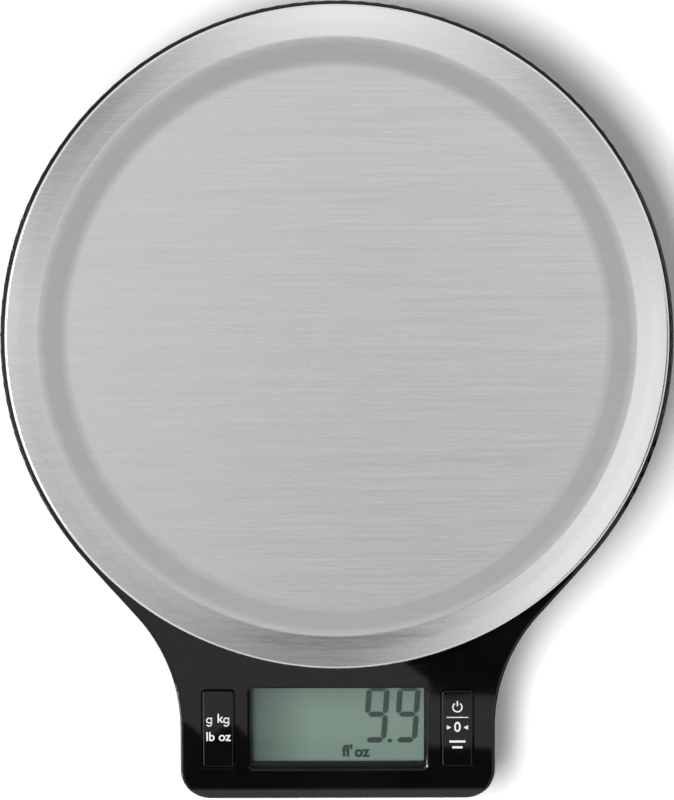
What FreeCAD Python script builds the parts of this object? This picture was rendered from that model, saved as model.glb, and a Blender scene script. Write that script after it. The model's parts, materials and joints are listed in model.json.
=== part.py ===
import FreeCAD, Part
import math
import os

# Electronic kitchen scale: a pressed steel platform over a two-piece plastic body whose head
# carries the display and two keys.  Millimetres, +Z up.  Every function below works with the
# platform's axis as x = y = 0; write() then shifts the pieces so that the origin is the centre
# of the footprint on the table.  The head points to -Y.

V = FreeCAD.Vector

# ---- driving dimensions: plan outline ----
BODY_R = 92.1            # round part of the body
HEAD_OUT = 34.75          # head's reach beyond the round part
HEAD_REACH = BODY_R + HEAD_OUT
HEAD_HALF = 43.2         # half width of the head
BLEND_R = 45.8           # hollow curve between the round part and the head
BLEND_ANGLE = 42.1       # where the outline leaves the round part, degrees below the X axis
CORNER_R = 8.2           # head's front corners
MIN_CORNER = 0.6

# ---- heights ----
FOOT_PROUD = 2.0         # rubber feet below the base
PART_Z = 15.0            # parting line of base and cover
CELL = (80.0, 12.7, 12.7)  # load cell
CELL_Z = 9.0             # its underside
CELL_ROOM = 4.9          # from its top to the cover's ring
RING_TOP = CELL_Z + CELL[2] + CELL_ROOM  # top of the cover round the platform
DECK_TOP = RING_TOP - 1.2  # top of the cover under the platform
DECK_T = 2.0
PLATE_Z = RING_TOP + 8.6   # flat middle of the platform
CREST_Z = PLATE_Z + 0.83   # highest point of the platform, before rounding

# ---- walls and gaps ----
COVER_WALL = 2.2
BASE_WALL = 2.0
BASE_FLOOR = 2.4
BASE_INSET = 0.4         # shadow step of the base under the cover
BASE_ROUND = 6.0         # round of the base's lower edge
EDGE_ROUND = 0.9         # round of the cover's upper edge
LIP_T = 1.1
LIP_H = 1.5
LABEL = (64.0, 34.0, 0.3)
LABEL_V = 45.0
RIB_T = 1.4
RIB_H = 2.0
RIB_RIM = 20.0            # floor ribs end this far from the body's edge
FIT = 0.1                # gap between pieces that locate each other
SLIP = 0.2               # gap between pieces that move past each other

# ---- head ----
HEAD_SLOPE = 5.5         # display face falls towards the front, degrees
SLOPE_V = 28.1 - BODY_R  # where the fall starts
NOSE_RUN = 2.7           # bevel along the front edge, in plan
NOSE_DROP = 2.3
CHIN_V = 40.1 - HEAD_REACH  # where the underside starts to rise
CHIN_RISE = 3.6
WINDOW = (2 * HEAD_HALF - 37.8, 22.4)
WINDOW_V = 19.4 - HEAD_REACH  # middle of the window and keys
KEY = (8.3, 21.1)
KEY_X = HEAD_HALF - 10.4
KEY_GAP = 0.25
KEY_FLANGE = (1.1, 0.5)
KEY_TRAVEL = 0.5
LENS_TOP = -1.2          # below the display face
LENS_T = 1.4
LENS_LAP = 1.9
BOARD = (2 * HEAD_HALF - 11.4, 37.6, 1.6)
BOARD_TOP = -8.8
BOARD_SHIFT = 3.1        # middle of the board behind the middle of the window
SWITCH = (6.0, 6.0, 3.5)
STEM_R = 1.7
STEM_H = 0.7
LCD_GLASS = (WINDOW[0] + 3.0, 26.8, 1.1)
LCD_REAR = (WINDOW[0] + 3.0, 22.0, 1.1)
FILM_T = 0.2
LCD_DEPTH = 1.9          # film below the lens
SIGHT = (47.4, 20.9)     # opening of the black frame over the display
SIGHT_BACK = 0.65        # its middle behind the window's middle
FRAME_WALL = 0.85

# ---- platform ----
PLATE_INSET = 1.8         # plate's rim inside the body's edge
PLATE_R = BODY_R - PLATE_INSET
SHEET_T = 0.6
FLAT_R = PLATE_R - 16.65
CREST_R = PLATE_R - 9.1
SHOULDER = (PLATE_R - 4.4, PLATE_Z - 0.05)  # on the falling outer band
BEND_Z = PLATE_Z - 1.65    # height at which the band would meet the skirt
SKIRT_Z = RING_TOP + 1.4   # lower edge of the skirt
HEM_W = 2.3
CARRIER_T = 2.4
FOAM_T = 0.8
TRAVEL = 0.6              # overload stop
STOP_GAP = 0.7
STOP_RIM = 26.06          # overload stops from the body's edge
STOP_ANGLES = (45, 135, 225, 315)
RIB_RADII = (34.0, 58.0)

# ---- load cell ----
CELL_HOLES = (20.0, 35.0)
SHIM_T = 1.0
BOSS_HALF = (13.0, 9.0)
M4_R = 1.95
M4_BORE_R = 2.05
M4_HEAD = (3.5, 2.6)

# ---- batteries ----
AAA_R = 5.25
AAA_LEN = 44.5
NUB = (1.9, 1.0)
CELL_PITCH = 11.2
SPRING_WIRE_R = 0.3
BAY_V = -38.0
BAY_HALF = (25.6, 11.5)
BAY_TOP = 15.2
BAY_WALL = 4.4
DOOR_HALF = (28.0, 14.0)
DOOR_T = 1.8
LATCH_W = 12.0

# ---- screws and feet ----
SCREW_R = 1.5
SCREW_HEAD = (2.8, 2.0)
SCREW_LEN = 12.0
SEAT_Z = 8.0             # screw head bears here
POST_R = 4.0
POST_TOP = 13.0
BOSS_R = 3.3
RING_SCREWS = [(BODY_R - 13.1, a) for a in (62.0, 118.0, 194.0, 346.0)]
HEAD_SCREWS = [(s * (HEAD_HALF - 9.2), 48.1 - HEAD_REACH) for s in (-1, 1)]
FOOT_R = 8.0
FOOT_DEEP = 1.0
FOOT_RIM = 18.74          # middle of a foot from the body's edge
FOOT_ANGLE = 38.88

TAN = math.tan(math.radians(HEAD_SLOPE))
FACE_ORIGIN = V(0, SLOPE_V, RING_TOP)
BASE_Z = FOOT_PROUD
FLOOR_Z = BASE_Z + BASE_FLOOR
DISC_Y = (HEAD_REACH - BODY_R) / 2.0


# ---------------------------------------------------------------- helpers
def box(x0, x1, y0, y1, z0, z1):
    return Part.makeBox(x1 - x0, y1 - y0, z1 - z0, V(x0, y0, z0))


def slab(size, centre, z0, z1, corner=0.0):
    """Block of plan size (x, y) about a centre (x, y), with rounded upright corners."""
    hx, hy = size[0] / 2.0, size[1] / 2.0
    block = box(centre[0] - hx, centre[0] + hx, centre[1] - hy, centre[1] + hy, z0, z1)
    if corner > 0:
        upright = [e for e in block.Edges if abs(e.tangentAt(e.FirstParameter).z) > 0.99]
        block = block.makeFillet(min(corner, 0.45 * min(size)), upright)
    return block


def rod(radius, x, y, z0, z1):
    return Part.makeCylinder(radius, z1 - z0, V(x, y, z0))


def rod_x(radius, x0, x1, y, z):
    return Part.makeCylinder(radius, x1 - x0, V(x0, y, z), V(1, 0, 0))


def corner_arc(before, at, after, radius):
    """The two ends and the middle of the arc that rounds one corner."""
    to_a = (before - at).normalize()
    to_b = (after - at).normalize()
    half = to_a.getAngle(to_b) / 2.0
    run = radius / math.tan(half)
    middle = (to_a + to_b).normalize()
    tip = at + middle * (radius / math.sin(half) - radius)
    return at + to_a * run, tip, at + to_b * run


def rounded_path(points, radii, closed=False):
    """Wire through the points, with each corner rounded by its radius (0 keeps it sharp)."""
    count = len(points)
    marks = []
    for i, at in enumerate(points):
        inner = closed or 0 < i < count - 1
        if inner and radii[i] > 0:
            marks.append(corner_arc(points[i - 1], at, points[(i + 1) % count], radii[i]))
        else:
            marks.append((at,))
    edges = []
    for i, mark in enumerate(marks):
        if len(mark) == 3:
            edges.append(Part.Arc(*mark).toShape())
        if i < count - 1 or closed:
            start, end = mark[-1], marks[(i + 1) % count][0]
            if start.distanceToPoint(end) > 1e-6:
                edges.append(Part.LineSegment(start, end).toShape())
    return Part.Wire(edges)


def outline(inset, z):
    """Plan outline of the body, moved inwards by inset."""
    ring, blend = BODY_R - inset, BLEND_R + inset
    half, front = HEAD_HALF - inset, inset - HEAD_REACH
    corner = max(CORNER_R - inset, MIN_CORNER)
    turn = math.radians(BLEND_ANGLE)
    c, s = math.cos(turn), math.sin(turn)
    run = ((ring + blend) * c - half - blend) / s
    leave = V(ring * c, -ring * s, z)
    meet = leave + V(-s, -c, 0) * run
    hub = meet + V(c, -s, 0) * blend
    middle = hub + V(-math.cos(turn / 2), math.sin(turn / 2), 0) * blend
    side = V(half, hub.y, z)
    low = V(half, front + corner, z)
    diagonal = corner * math.sqrt(0.5)
    bend = V(half - corner + diagonal, front + corner - diagonal, z)
    nose = V(half - corner, front, z)

    def other(p):
        return V(-p.x, p.y, p.z)

    return Part.Wire([
        Part.Arc(leave, V(0, ring, z), other(leave)).toShape(),
        Part.LineSegment(other(leave), other(meet)).toShape(),
        Part.Arc(other(meet), other(middle), other(side)).toShape(),
        Part.LineSegment(other(side), other(low)).toShape(),
        Part.Arc(other(low), other(bend), other(nose)).toShape(),
        Part.LineSegment(other(nose), nose).toShape(),
        Part.Arc(nose, bend, low).toShape(),
        Part.LineSegment(low, side).toShape(),
        Part.Arc(side, middle, meet).toShape(),
        Part.LineSegment(meet, leave).toShape(),
    ])


def body_prism(inset, z0, z1):
    return Part.Face(outline(inset, z0)).extrude(V(0, 0, z1 - z0))


def side_slice(points, radii):
    """Solid with the given (y, z) side profile, wider than the body."""
    wide = BODY_R + 10.0
    loop = rounded_path([V(-wide, y, z) for y, z in points], radii, closed=True)
    return Part.Face(loop).extrude(V(2 * wide, 0, 0))


def revolve(points, radii, closed=True):
    """Solid turned about the Z axis from an (r, z) profile."""
    loop = rounded_path([V(r, 0, z) for r, z in points], radii, closed=closed)
    return Part.Face(loop).revolve(V(0, 0, 0), V(0, 0, 1), 360)


def face_z(v):
    """Height of the display face at a plan position v."""
    return RING_TOP - max(0.0, SLOPE_V - v) * TAN


def on_face(shape):
    """Moves a piece from the display face's own frame (z = 0 on the face) to the head."""
    moved = shape.copy()
    turn = FreeCAD.Rotation(V(1, 0, 0), HEAD_SLOPE)
    moved.Placement = FreeCAD.Placement(FACE_ORIGIN, turn).multiply(moved.Placement)
    return moved


def face_y(v):
    """Plan position v as a distance along the display face."""
    return (v - SLOPE_V) / math.cos(math.radians(HEAD_SLOPE))


def fuse(shapes):
    return shapes[0].multiFuse(shapes[1:]).removeSplitter() if len(shapes) > 1 else shapes[0]


def cut(shape, tools):
    return shape.cut(Part.makeCompound(tools))


def mirrored_x(shape):
    return shape.mirror(V(0, 0, 0), V(1, 0, 0))


def ring_points():
    found = [(r * math.cos(math.radians(a)), r * math.sin(math.radians(a))) for r, a in RING_SCREWS]
    return found + HEAD_SCREWS


def stop_points():
    reach = BODY_R - STOP_RIM
    return [(reach * math.cos(math.radians(a)), reach * math.sin(math.radians(a)))
            for a in STOP_ANGLES]


def screw(x, y, tip, head, grip, radius, head_size, up=True, drive=0.9):
    """Pan-head screw along Z with a cross recess; up means that the shank points to +Z."""
    way = 1.0 if up else -1.0
    shank = Part.makeCylinder(radius, grip, V(x, y, head), V(0, 0, way))
    cap = Part.makeCylinder(head_size[0], head_size[1], V(x, y, head), V(0, 0, -way))
    rim = [e for e in cap.Edges if abs(e.CenterOfMass.z - (head - way * head_size[1])) < 1e-6]
    cap = cap.makeFillet(0.3 * head_size[1], rim)
    point = Part.makeCone(radius, 0.35 * radius, tip, V(x, y, head + way * grip), V(0, 0, way))
    deep = 0.55 * head_size[1]
    outer = head - way * head_size[1]
    z0, z1 = sorted((outer, outer + way * deep))
    arms = [box(x - 0.65 * head_size[0], x + 0.65 * head_size[0], y - 0.28, y + 0.28, z0, z1),
            box(x - 0.28, x + 0.28, y - 0.65 * head_size[0], y + 0.65 * head_size[0], z0, z1)]
    return cut(fuse([shank, cap, point]), [a for a in arms])


# ---------------------------------------------------------------- base and feet
def foot_points():
    reach = BODY_R - FOOT_RIM
    fx, fy = reach * math.cos(math.radians(FOOT_ANGLE)), reach * math.sin(math.radians(FOOT_ANGLE))
    return {"rear_left": (-fx, fy), "rear_right": (fx, fy),
            "front_left": (-fx, -fy), "front_right": (fx, -fy)}


def base_shell():
    far = BODY_R + 20
    front = HEAD_REACH + 20
    rise = CHIN_RISE / (HEAD_REACH + CHIN_V)
    chin = [(far, BASE_Z), (far, PART_Z), (-front, PART_Z),
            (-front, BASE_Z + rise * (front + CHIN_V)), (CHIN_V, BASE_Z)]
    outer = body_prism(BASE_INSET, BASE_Z - 1, PART_Z).common(side_slice(chin, [0, 0, 0, 0, 60]))
    low = [e for e in outer.Edges if e.BoundBox.ZMax < PART_Z - 2
           and e.BoundBox.YLength + e.BoundBox.XLength > 0.1 and not crosses_middle(e)]
    outer = outer.makeFillet(BASE_ROUND, low)
    inner_side = [(y, z + (BASE_FLOOR if z < PART_Z else 5)) for y, z in chin]
    hollow = body_prism(BASE_INSET + BASE_WALL, FLOOR_Z - 1, PART_Z + 5)
    hollow = hollow.common(side_slice(inner_side, [0, 0, 0, 0, 60]))
    low = [e for e in hollow.Edges if e.BoundBox.ZMax < PART_Z - 2
           and e.BoundBox.YLength + e.BoundBox.XLength > 0.1 and not crosses_middle(e)]
    hollow = hollow.makeFillet(BASE_ROUND - BASE_WALL, low)
    shell = outer.cut(hollow)
    lip = body_prism(BASE_INSET + BASE_WALL - LIP_T, PART_Z - 3, PART_Z + LIP_H)
    lip = lip.cut(body_prism(BASE_INSET + BASE_WALL, PART_Z - 4, PART_Z + LIP_H + 1))
    adds = [shell, lip]
    cuts = []
    for x, y in ring_points():
        adds.append(rod(POST_R, x, y, BASE_Z + 0.5, POST_TOP))
        cuts.append(rod(SCREW_R + 0.2, x, y, BASE_Z - 1, POST_TOP + 1))
        cuts.append(rod(SCREW_HEAD[0] + 0.3, x, y, BASE_Z - 1, SEAT_Z))
    for x, y in foot_points().values():
        cuts.append(rod(FOOT_R + FIT, x, y, BASE_Z - 1, BASE_Z + FOOT_DEEP))
        adds.append(rod(FOOT_R + 1.5, x, y, BASE_Z + 0.5, FLOOR_Z + 0.6))
        # the locating dimple of each foot
        cuts.append(rod(2.0 + FIT, x, y, BASE_Z, BASE_Z + FOOT_DEEP + 1.2))
    adds += [load_cell_pedestal(), stop_boss()] + floor_ribs()
    adds.append(bay_block())
    cuts += bay_cuts() + load_cell_bores()
    # shallow field for a rating label, left bare
    cuts.append(slab(LABEL[:2], (0, LABEL_V), BASE_Z - 1, BASE_Z + LABEL[2], 3.0))
    return cut(fuse(adds), cuts)


def crosses_middle(edge):
    """True for the straight seams that run across the underside."""
    return edge.BoundBox.YLength < 1e-3 and edge.BoundBox.XLength > 2 * HEAD_HALF - 20 \
        and edge.CenterOfMass.y > -HEAD_REACH + 2 * BASE_ROUND


def load_cell_pedestal():
    x0, x1 = -CELL[0] / 2 - 1, -CELL_HOLES[0] + 6
    return box(x0, x1, -CELL[1] / 2 - 2.5, CELL[1] / 2 + 2.5, BASE_Z + 0.5, CELL_Z - SHIM_T)


def stop_boss():
    x = (CELL_HOLES[0] + CELL_HOLES[1]) / 2
    return rod(4.0, x, 0, BASE_Z + 0.5, CELL_Z - 2.2)


def floor_ribs():
    """Low stiffening ribs from the pedestal and the stop to the wall."""
    ribs = []
    half, reach = RIB_T / 2, BODY_R - RIB_RIM
    for x in (-30.0, 30.0):
        ribs.append(box(x - half, x + half, 8, math.sqrt(reach ** 2 - x ** 2), BASE_Z + 0.5, FLOOR_Z + RIB_H))
    for y in (30.4, 55.3):
        run = math.sqrt(reach ** 2 - y ** 2)
        ribs.append(box(-run, run, y - half, y + half, BASE_Z + 0.5, FLOOR_Z + RIB_H))
    return ribs


def load_cell_bores():
    bores = []
    for hole in CELL_HOLES:
        bores.append(rod(M4_BORE_R, -hole, 0, BASE_Z - 1, CELL_Z))
        bores.append(rod(M4_HEAD[0] + 0.4, -hole, 0, BASE_Z - 1, BASE_Z + M4_HEAD[1] + 0.4))
    x = (CELL_HOLES[0] + CELL_HOLES[1]) / 2
    bores.append(rod(M4_R + 0.03, x, 0, BASE_Z - 1, CELL_Z))
    return bores


def foot(x, y):
    """Rubber foot: a disc in its recess, with a plug, a round edge and a shallow dished sole."""
    pad = rod(FOOT_R, x, y, 0, BASE_Z + FOOT_DEEP)
    sole = [e for e in pad.Edges if e.BoundBox.ZMax < 0.01 and e.BoundBox.XLength > 1]
    pad = pad.makeFillet(0.6, sole)
    plug = rod(2.0, x, y, BASE_Z, BASE_Z + FOOT_DEEP + 1.1)
    groove = rod(5.2, x, y, -0.1, 0.35).cut(rod(4.2, x, y, -1, 1))
    return cut(fuse([pad, plug]), [groove])


# ---------------------------------------------------------------- battery bay
def bay_block():
    hx, hy = BAY_HALF[0] + BAY_WALL, BAY_HALF[1] + BAY_WALL
    block = box(-hx, hx, BAY_V - hy, BAY_V + hy, BASE_Z, BAY_TOP + 1.8)
    latch = box(-LATCH_W / 2 - 2, LATCH_W / 2 + 2, BAY_V - hy - 3.4, BAY_V - hy + 1, BASE_Z, 12.8)
    return block.fuse(latch)


def tongue_span():
    """The (x0, x1) of each of the door's two tongues."""
    return [(-18.0, -11.0), (11.0, 18.0)]


def pivot():
    """Door pivot: the inner corner of the slot lip."""
    return V(0, BAY_V + DOOR_HALF[1] + 0.15, BASE_Z + 0.85)


def bay_cuts():
    hx, hy = BAY_HALF
    door_x, door_y = DOOR_HALF[0] + SLIP, DOOR_HALF[1] + SLIP
    cuts = [box(-hx, hx, BAY_V - hy, BAY_V + hy, BASE_Z - 1, BAY_TOP),
            box(-door_x, door_x, BAY_V - door_y, BAY_V + door_y, BASE_Z - 1, BASE_Z + DOOR_T + 0.1)]
    for x0, x1 in tongue_span():
        cuts.append(box(x0 - 0.3, x1 + 0.3, BAY_V + DOOR_HALF[1] - 0.6, BAY_V + DOOR_HALF[1] + 2.5,
                        BASE_Z + 0.8, BASE_Z + 3.2))
    # latch recess: wide above the catch ledge, narrower at the finger opening
    w = LATCH_W / 2 + 0.4
    cuts.append(box(-w, w, BAY_V - 17.6, BAY_V - hy + 0.1, BASE_Z + 2.0, 11.0))
    cuts.append(box(-w, w, BAY_V - 16.3, BAY_V - hy + 0.1, BASE_Z - 1, BASE_Z + 2.1))
    # finger scoop in the underside in front of the latch
    cuts.append(Part.makeSphere(9.0, V(0, BAY_V - 18.5, BASE_Z - 7.6)))
    # solder tabs of the two end contacts pass the -X wall
    for side in (-1, 1):
        y = BAY_V + side * CELL_PITCH / 2
        cuts.append(box(-hx - BAY_WALL - 0.1, -hx + 0.1, y - 1.6, y + 1.6, 12.3, 13.3))
    return cuts


def battery(v, way):
    """AAA cell along X; way is +1 where the positive nub points to +X."""
    z = BASE_Z + DOOR_T + 0.35 + AAA_R
    tip = way * (BAY_HALF[0] - 1.0)
    tail = tip - way * AAA_LEN
    shoulder = tip - way * NUB[1]
    can = rod_x(AAA_R, min(tail, shoulder), max(tail, shoulder), v, z)
    rims = [e for e in can.Edges if e.BoundBox.XLength < 1e-6]
    can = can.makeFillet(0.5, rims)
    return can.fuse(rod_x(NUB[0], min(shoulder - way, tip), max(shoulder - way, tip), v, z)).removeSplitter()


def cone_spring(x, v, way, length):
    """Conical wire coil that bears on a cell's flat end."""
    big, small, turns, steps = 3.4, 2.0, 2, 6
    z = BASE_Z + DOOR_T + 0.35 + AAA_R
    points, bends = [], []
    for i in range(turns * steps + 1):
        share = i / float(turns * steps)
        radius = big + (small - big) * share
        turn = 2 * math.pi * i / steps
        points.append(V(x + way * length * share, v + radius * math.cos(turn), z + radius * math.sin(turn)))
        bends.append(0.8 * radius)
    return tube(points, SPRING_WIRE_R, bends)


def contacts():
    """Bridge contact at +X; negative and positive end contacts at -X."""
    hx, hy = BAY_HALF
    z0, z1, plate = BASE_Z + DOOR_T + 0.8, BAY_TOP - 0.4, 0.4
    y_pos, y_neg = BAY_V + CELL_PITCH / 2, BAY_V - CELL_PITCH / 2
    mid_z = BASE_Z + DOOR_T + 0.35 + AAA_R
    gap = 2 * hx - 1.0 - AAA_LEN - plate - 2 * 0.32
    bridge = box(hx - plate - 0.02, hx - 0.02, y_neg - 4.6, y_pos + 4.6, z0, z1)
    dimple = Part.makeCylinder(1.6, 0.55, V(hx - plate - 0.02 - 0.55, y_pos, mid_z), V(1, 0, 0))
    bridge = bridge.fuse(dimple).removeSplitter()
    left = -hx + 0.02

    def end_plate(y):
        plate_body = box(left, left + plate, y - 4.6, y + 4.6, z0, z1)
        tab = box(-hx - BAY_WALL - 2.2, left + plate, y - 1.4, y + 1.4, 12.6, 13.0)
        return plate_body.fuse(tab).removeSplitter()

    bump = Part.makeCylinder(1.6, 0.55, V(left + plate, y_neg, mid_z), V(1, 0, 0))
    return {
        "battery_bridge_contact": bridge,
        "battery_positive_contact": end_plate(y_neg).fuse(bump).removeSplitter(),
        "battery_negative_contact": end_plate(y_pos),
        "battery_springs": Part.makeCompound([
            cone_spring(hx - plate - 0.34, y_neg, -1, gap),
            cone_spring(-hx + plate + 0.34, y_pos, 1, gap)]),
    }


def battery_door():
    hx, hy = DOOR_HALF
    z0, z1 = BASE_Z + 0.05, BASE_Z + 0.05 + DOOR_T
    panel = slab((2 * hx, 2 * hy), (0, BAY_V), z0, z1)
    rear_low = [e for e in panel.Edges if e.BoundBox.ZMax < z0 + 0.01
                and e.BoundBox.YLength < 1e-6 and e.CenterOfMass.y > BAY_V]
    panel = panel.makeChamfer(0.85, rear_low)
    tongues = [box(x0, x1, BAY_V + hy - 1.5, BAY_V + hy + 1.9, BASE_Z + 0.9, z1)
               for x0, x1 in tongue_span()]
    ribs = [box(-hx + 4, hx - 4, BAY_V + y - 0.5, BAY_V + y + 0.5, z1 - 0.1, z1 + 0.3)
            for y in (-10.4, 0.0, 10.4)]
    notch = box(-LATCH_W / 2 - 0.4, LATCH_W / 2 + 0.4, BAY_V - hy - 1, BAY_V - hy + 0.9, z0 - 1, z1 + 1)
    grips = [box(-9, 9, BAY_V - 9.5 + 1.6 * i, BAY_V - 9.1 + 1.6 * i, z0 - 0.1, z0 + 0.3)
             for i in range(5)]
    return cut(fuse([panel] + tongues + ribs), [notch] + grips)


def battery_door_latch():
    """U-shaped springy latch: inner leg on the door, hook and finger pad on the outer leg."""
    t, w = 0.9, LATCH_W
    top, inner, outer = 10.2, BAY_V - 12.65, BAY_V - 15.45
    z0 = BASE_Z + 0.05
    seat = z0 + DOOR_T + 0.01
    line = rounded_path([V(-w / 2, inner, seat), V(-w / 2, inner, top),
                         V(-w / 2, outer, top), V(-w / 2, outer, z0)], [0, 1.3, 1.3, 0])
    strip = ribbon(line, t, w)
    nose = Part.Face(rounded_path([V(-w / 2, outer, 6.0), V(-w / 2, outer - 1.5, 4.25),
                                   V(-w / 2, outer, 4.25)], [0, 0, 0], closed=True)).extrude(V(w, 0, 0))
    root = box(-w / 2, w / 2, inner - t / 2, inner + 1.2, seat, seat + 1.0)
    pad = box(-w / 2, w / 2, outer - 0.75, outer + 0.45, z0, z0 + 1.2)
    return fuse([strip, nose, pad, root])


def ribbon(path, thickness, width):
    """Flat strip of a thickness centred on a path in the YZ plane, extruded along +X."""
    band = path.makeOffset2D(thickness / 2, 2, False, True, False)
    other = path.makeOffset2D(-thickness / 2, 2, False, True, False)
    a, b = band.OrderedVertexes, other.OrderedVertexes
    ends = [Part.LineSegment(a[0].Point, b[0].Point).toShape(),
            Part.LineSegment(a[-1].Point, b[-1].Point).toShape()]
    loop = Part.Wire(Part.__sortEdges__(band.Edges + other.Edges + ends))
    return Part.Face(loop).extrude(V(width, 0, 0))


# ---------------------------------------------------------------- cover
def cover_side(lower):
    """Side profile of the cover's top, moved down by lower."""
    far, front = BODY_R + 20, HEAD_REACH + 20
    nose_v = NOSE_RUN - HEAD_REACH
    nose_z = face_z(nose_v)
    fall = NOSE_DROP / NOSE_RUN
    points = [(far, 0), (far, RING_TOP - lower), (SLOPE_V, RING_TOP - lower),
              (nose_v, nose_z - lower), (-front, nose_z - lower - fall * (front + nose_v)), (-front, 0)]
    if points[4][1] < 0:
        reach = (nose_z - lower) / fall
        points[4:] = [(nose_v - reach, 0)]
        return side_slice(points, [0, 0, 30, 1.5, 0])
    return side_slice(points, [0, 0, 30, 1.5, 0, 0])


def top_cover():
    outer = body_prism(0, PART_Z, RING_TOP + 5).common(cover_side(0))
    rim = [e for e in outer.Edges if on_rim(e, 0)]
    outer = outer.makeFillet(EDGE_ROUND, rim)
    hollow = body_prism(COVER_WALL, PART_Z - 1, RING_TOP + 5).common(cover_side(COVER_WALL))
    deck_under = box(-200, 200, -200, 200, 0, DECK_TOP - DECK_T)
    hollow = hollow.common(deck_under)
    shell = outer.cut(hollow)
    rebate = body_prism(BASE_INSET + BASE_WALL - LIP_T - FIT, PART_Z - 1, PART_Z + LIP_H + 0.2)
    shell = shell.cut(rebate)
    well = rod(BODY_R - 3.6, 0, 0, DECK_TOP, RING_TOP + 5)
    adds, cuts = [], [well]
    inside = body_prism(BASE_INSET + BASE_WALL + FIT, 0, RING_TOP).common(cover_side(1.0))
    for x, y in ring_points():
        adds.append(rod(BOSS_R, x, y, POST_TOP + FIT, DECK_TOP - 1).common(inside))
        cuts.append(rod(SCREW_R + 0.03, x, y, POST_TOP - 1, SEAT_Z + SCREW_LEN + 1.5))
    free_x = (CELL_HOLES[0] + CELL_HOLES[1]) / 2
    cuts.append(slab((2 * BOSS_HALF[0] + 4, 2 * BOSS_HALF[1] + 4), (free_x, 0),
                     DECK_TOP - 5, DECK_TOP + 5, 3.0))
    for x, y in stop_points():
        adds.append(rod(3.0, x, y, DECK_TOP - 1, carrier_bottom() - STOP_GAP))
    adds += board_posts()
    shell = cut(shell, cuts)
    shell = fuse([shell] + [cut(a, [c for c in cuts[1:]]) for a in adds])
    return cut(shell, face_openings())


def on_rim(edge, lower):
    """True for an edge where the cover's top meets its upright wall."""
    box_ = edge.BoundBox
    mid = edge.valueAt((edge.FirstParameter + edge.LastParameter) / 2)
    if box_.ZMax < PART_Z + 1 or abs(edge.tangentAt(edge.FirstParameter).z) > 0.9:
        return False
    across = box_.YLength < 1e-3 and box_.XLength > 2 * HEAD_HALF - 3 * CORNER_R
    return not (across and mid.y > -HEAD_REACH + 1e-3)


def board_posts():
    """Posts that carry the circuit board, in place under the display face."""
    posts = []
    for x, y in board_screw_points():
        posts.append(on_face(rod(2.0, x, y, BOARD_TOP + 0.02, -1.5)))
    return posts


def board_screw_points():
    hx, mid = BOARD[0] / 2 - 2.9, board_mid()
    front, rear = mid - BOARD[1] / 2 + 2.3, mid + BOARD[1] / 2 - 3.0
    return [(sx * hx, y) for sx in (-1, 1) for y in (front, rear)]


def board_mid():
    return face_y(WINDOW_V) + BOARD_SHIFT


def face_openings():
    y = face_y(WINDOW_V)
    hole = slab(WINDOW, (0, y), -10, 5, 1.2)
    bevel = slab((WINDOW[0] + 1.0, WINDOW[1] + 1.0), (0, y), -0.5, 5, 1.6)
    seat = slab((WINDOW[0] + 2 * LENS_LAP + 2 * FIT, WINDOW[1] + 2 * LENS_LAP + 2 * FIT), (0, y),
                -10, LENS_TOP, 1.5)
    tools = [on_face(hole), on_face(cone_bevel(WINDOW, (0, y), 0.5, 1.2)), on_face(seat)]
    for side in (-1, 1):
        size = (KEY[0] + 2 * KEY_GAP, KEY[1] + 2 * KEY_GAP)
        tools.append(on_face(slab(size, (side * KEY_X, y), -10, 5, 1.0)))
        tools.append(on_face(cone_bevel(size, (side * KEY_X, y), 0.3, 1.0)))
    for x, py in board_screw_points():
        tools.append(on_face(rod(1.03, x, py, BOARD_TOP - 1, -3.0)))
    return tools


def cone_bevel(size, centre, bevel, corner):
    """Flared mouth round a window: a loft from its size to a size larger by the bevel."""
    low = slab_wire(size, centre, -bevel, corner)
    high = slab_wire((size[0] + 4 * bevel, size[1] + 4 * bevel), centre, bevel, corner + 2 * bevel)
    return Part.makeLoft([low, high], True, True)


def slab_wire(size, centre, z, corner):
    hx, hy = size[0] / 2, size[1] / 2
    x, y = centre
    points = [V(x - hx, y - hy, z), V(x + hx, y - hy, z), V(x + hx, y + hy, z), V(x - hx, y + hy, z)]
    return rounded_path(points, [corner] * 4, closed=True)


# ---------------------------------------------------------------- head pieces
def lens():
    y = face_y(WINDOW_V)
    size = (WINDOW[0] + 2 * LENS_LAP, WINDOW[1] + 2 * LENS_LAP)
    return on_face(slab(size, (0, y), LENS_TOP - LENS_T, LENS_TOP, 1.4))


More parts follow.
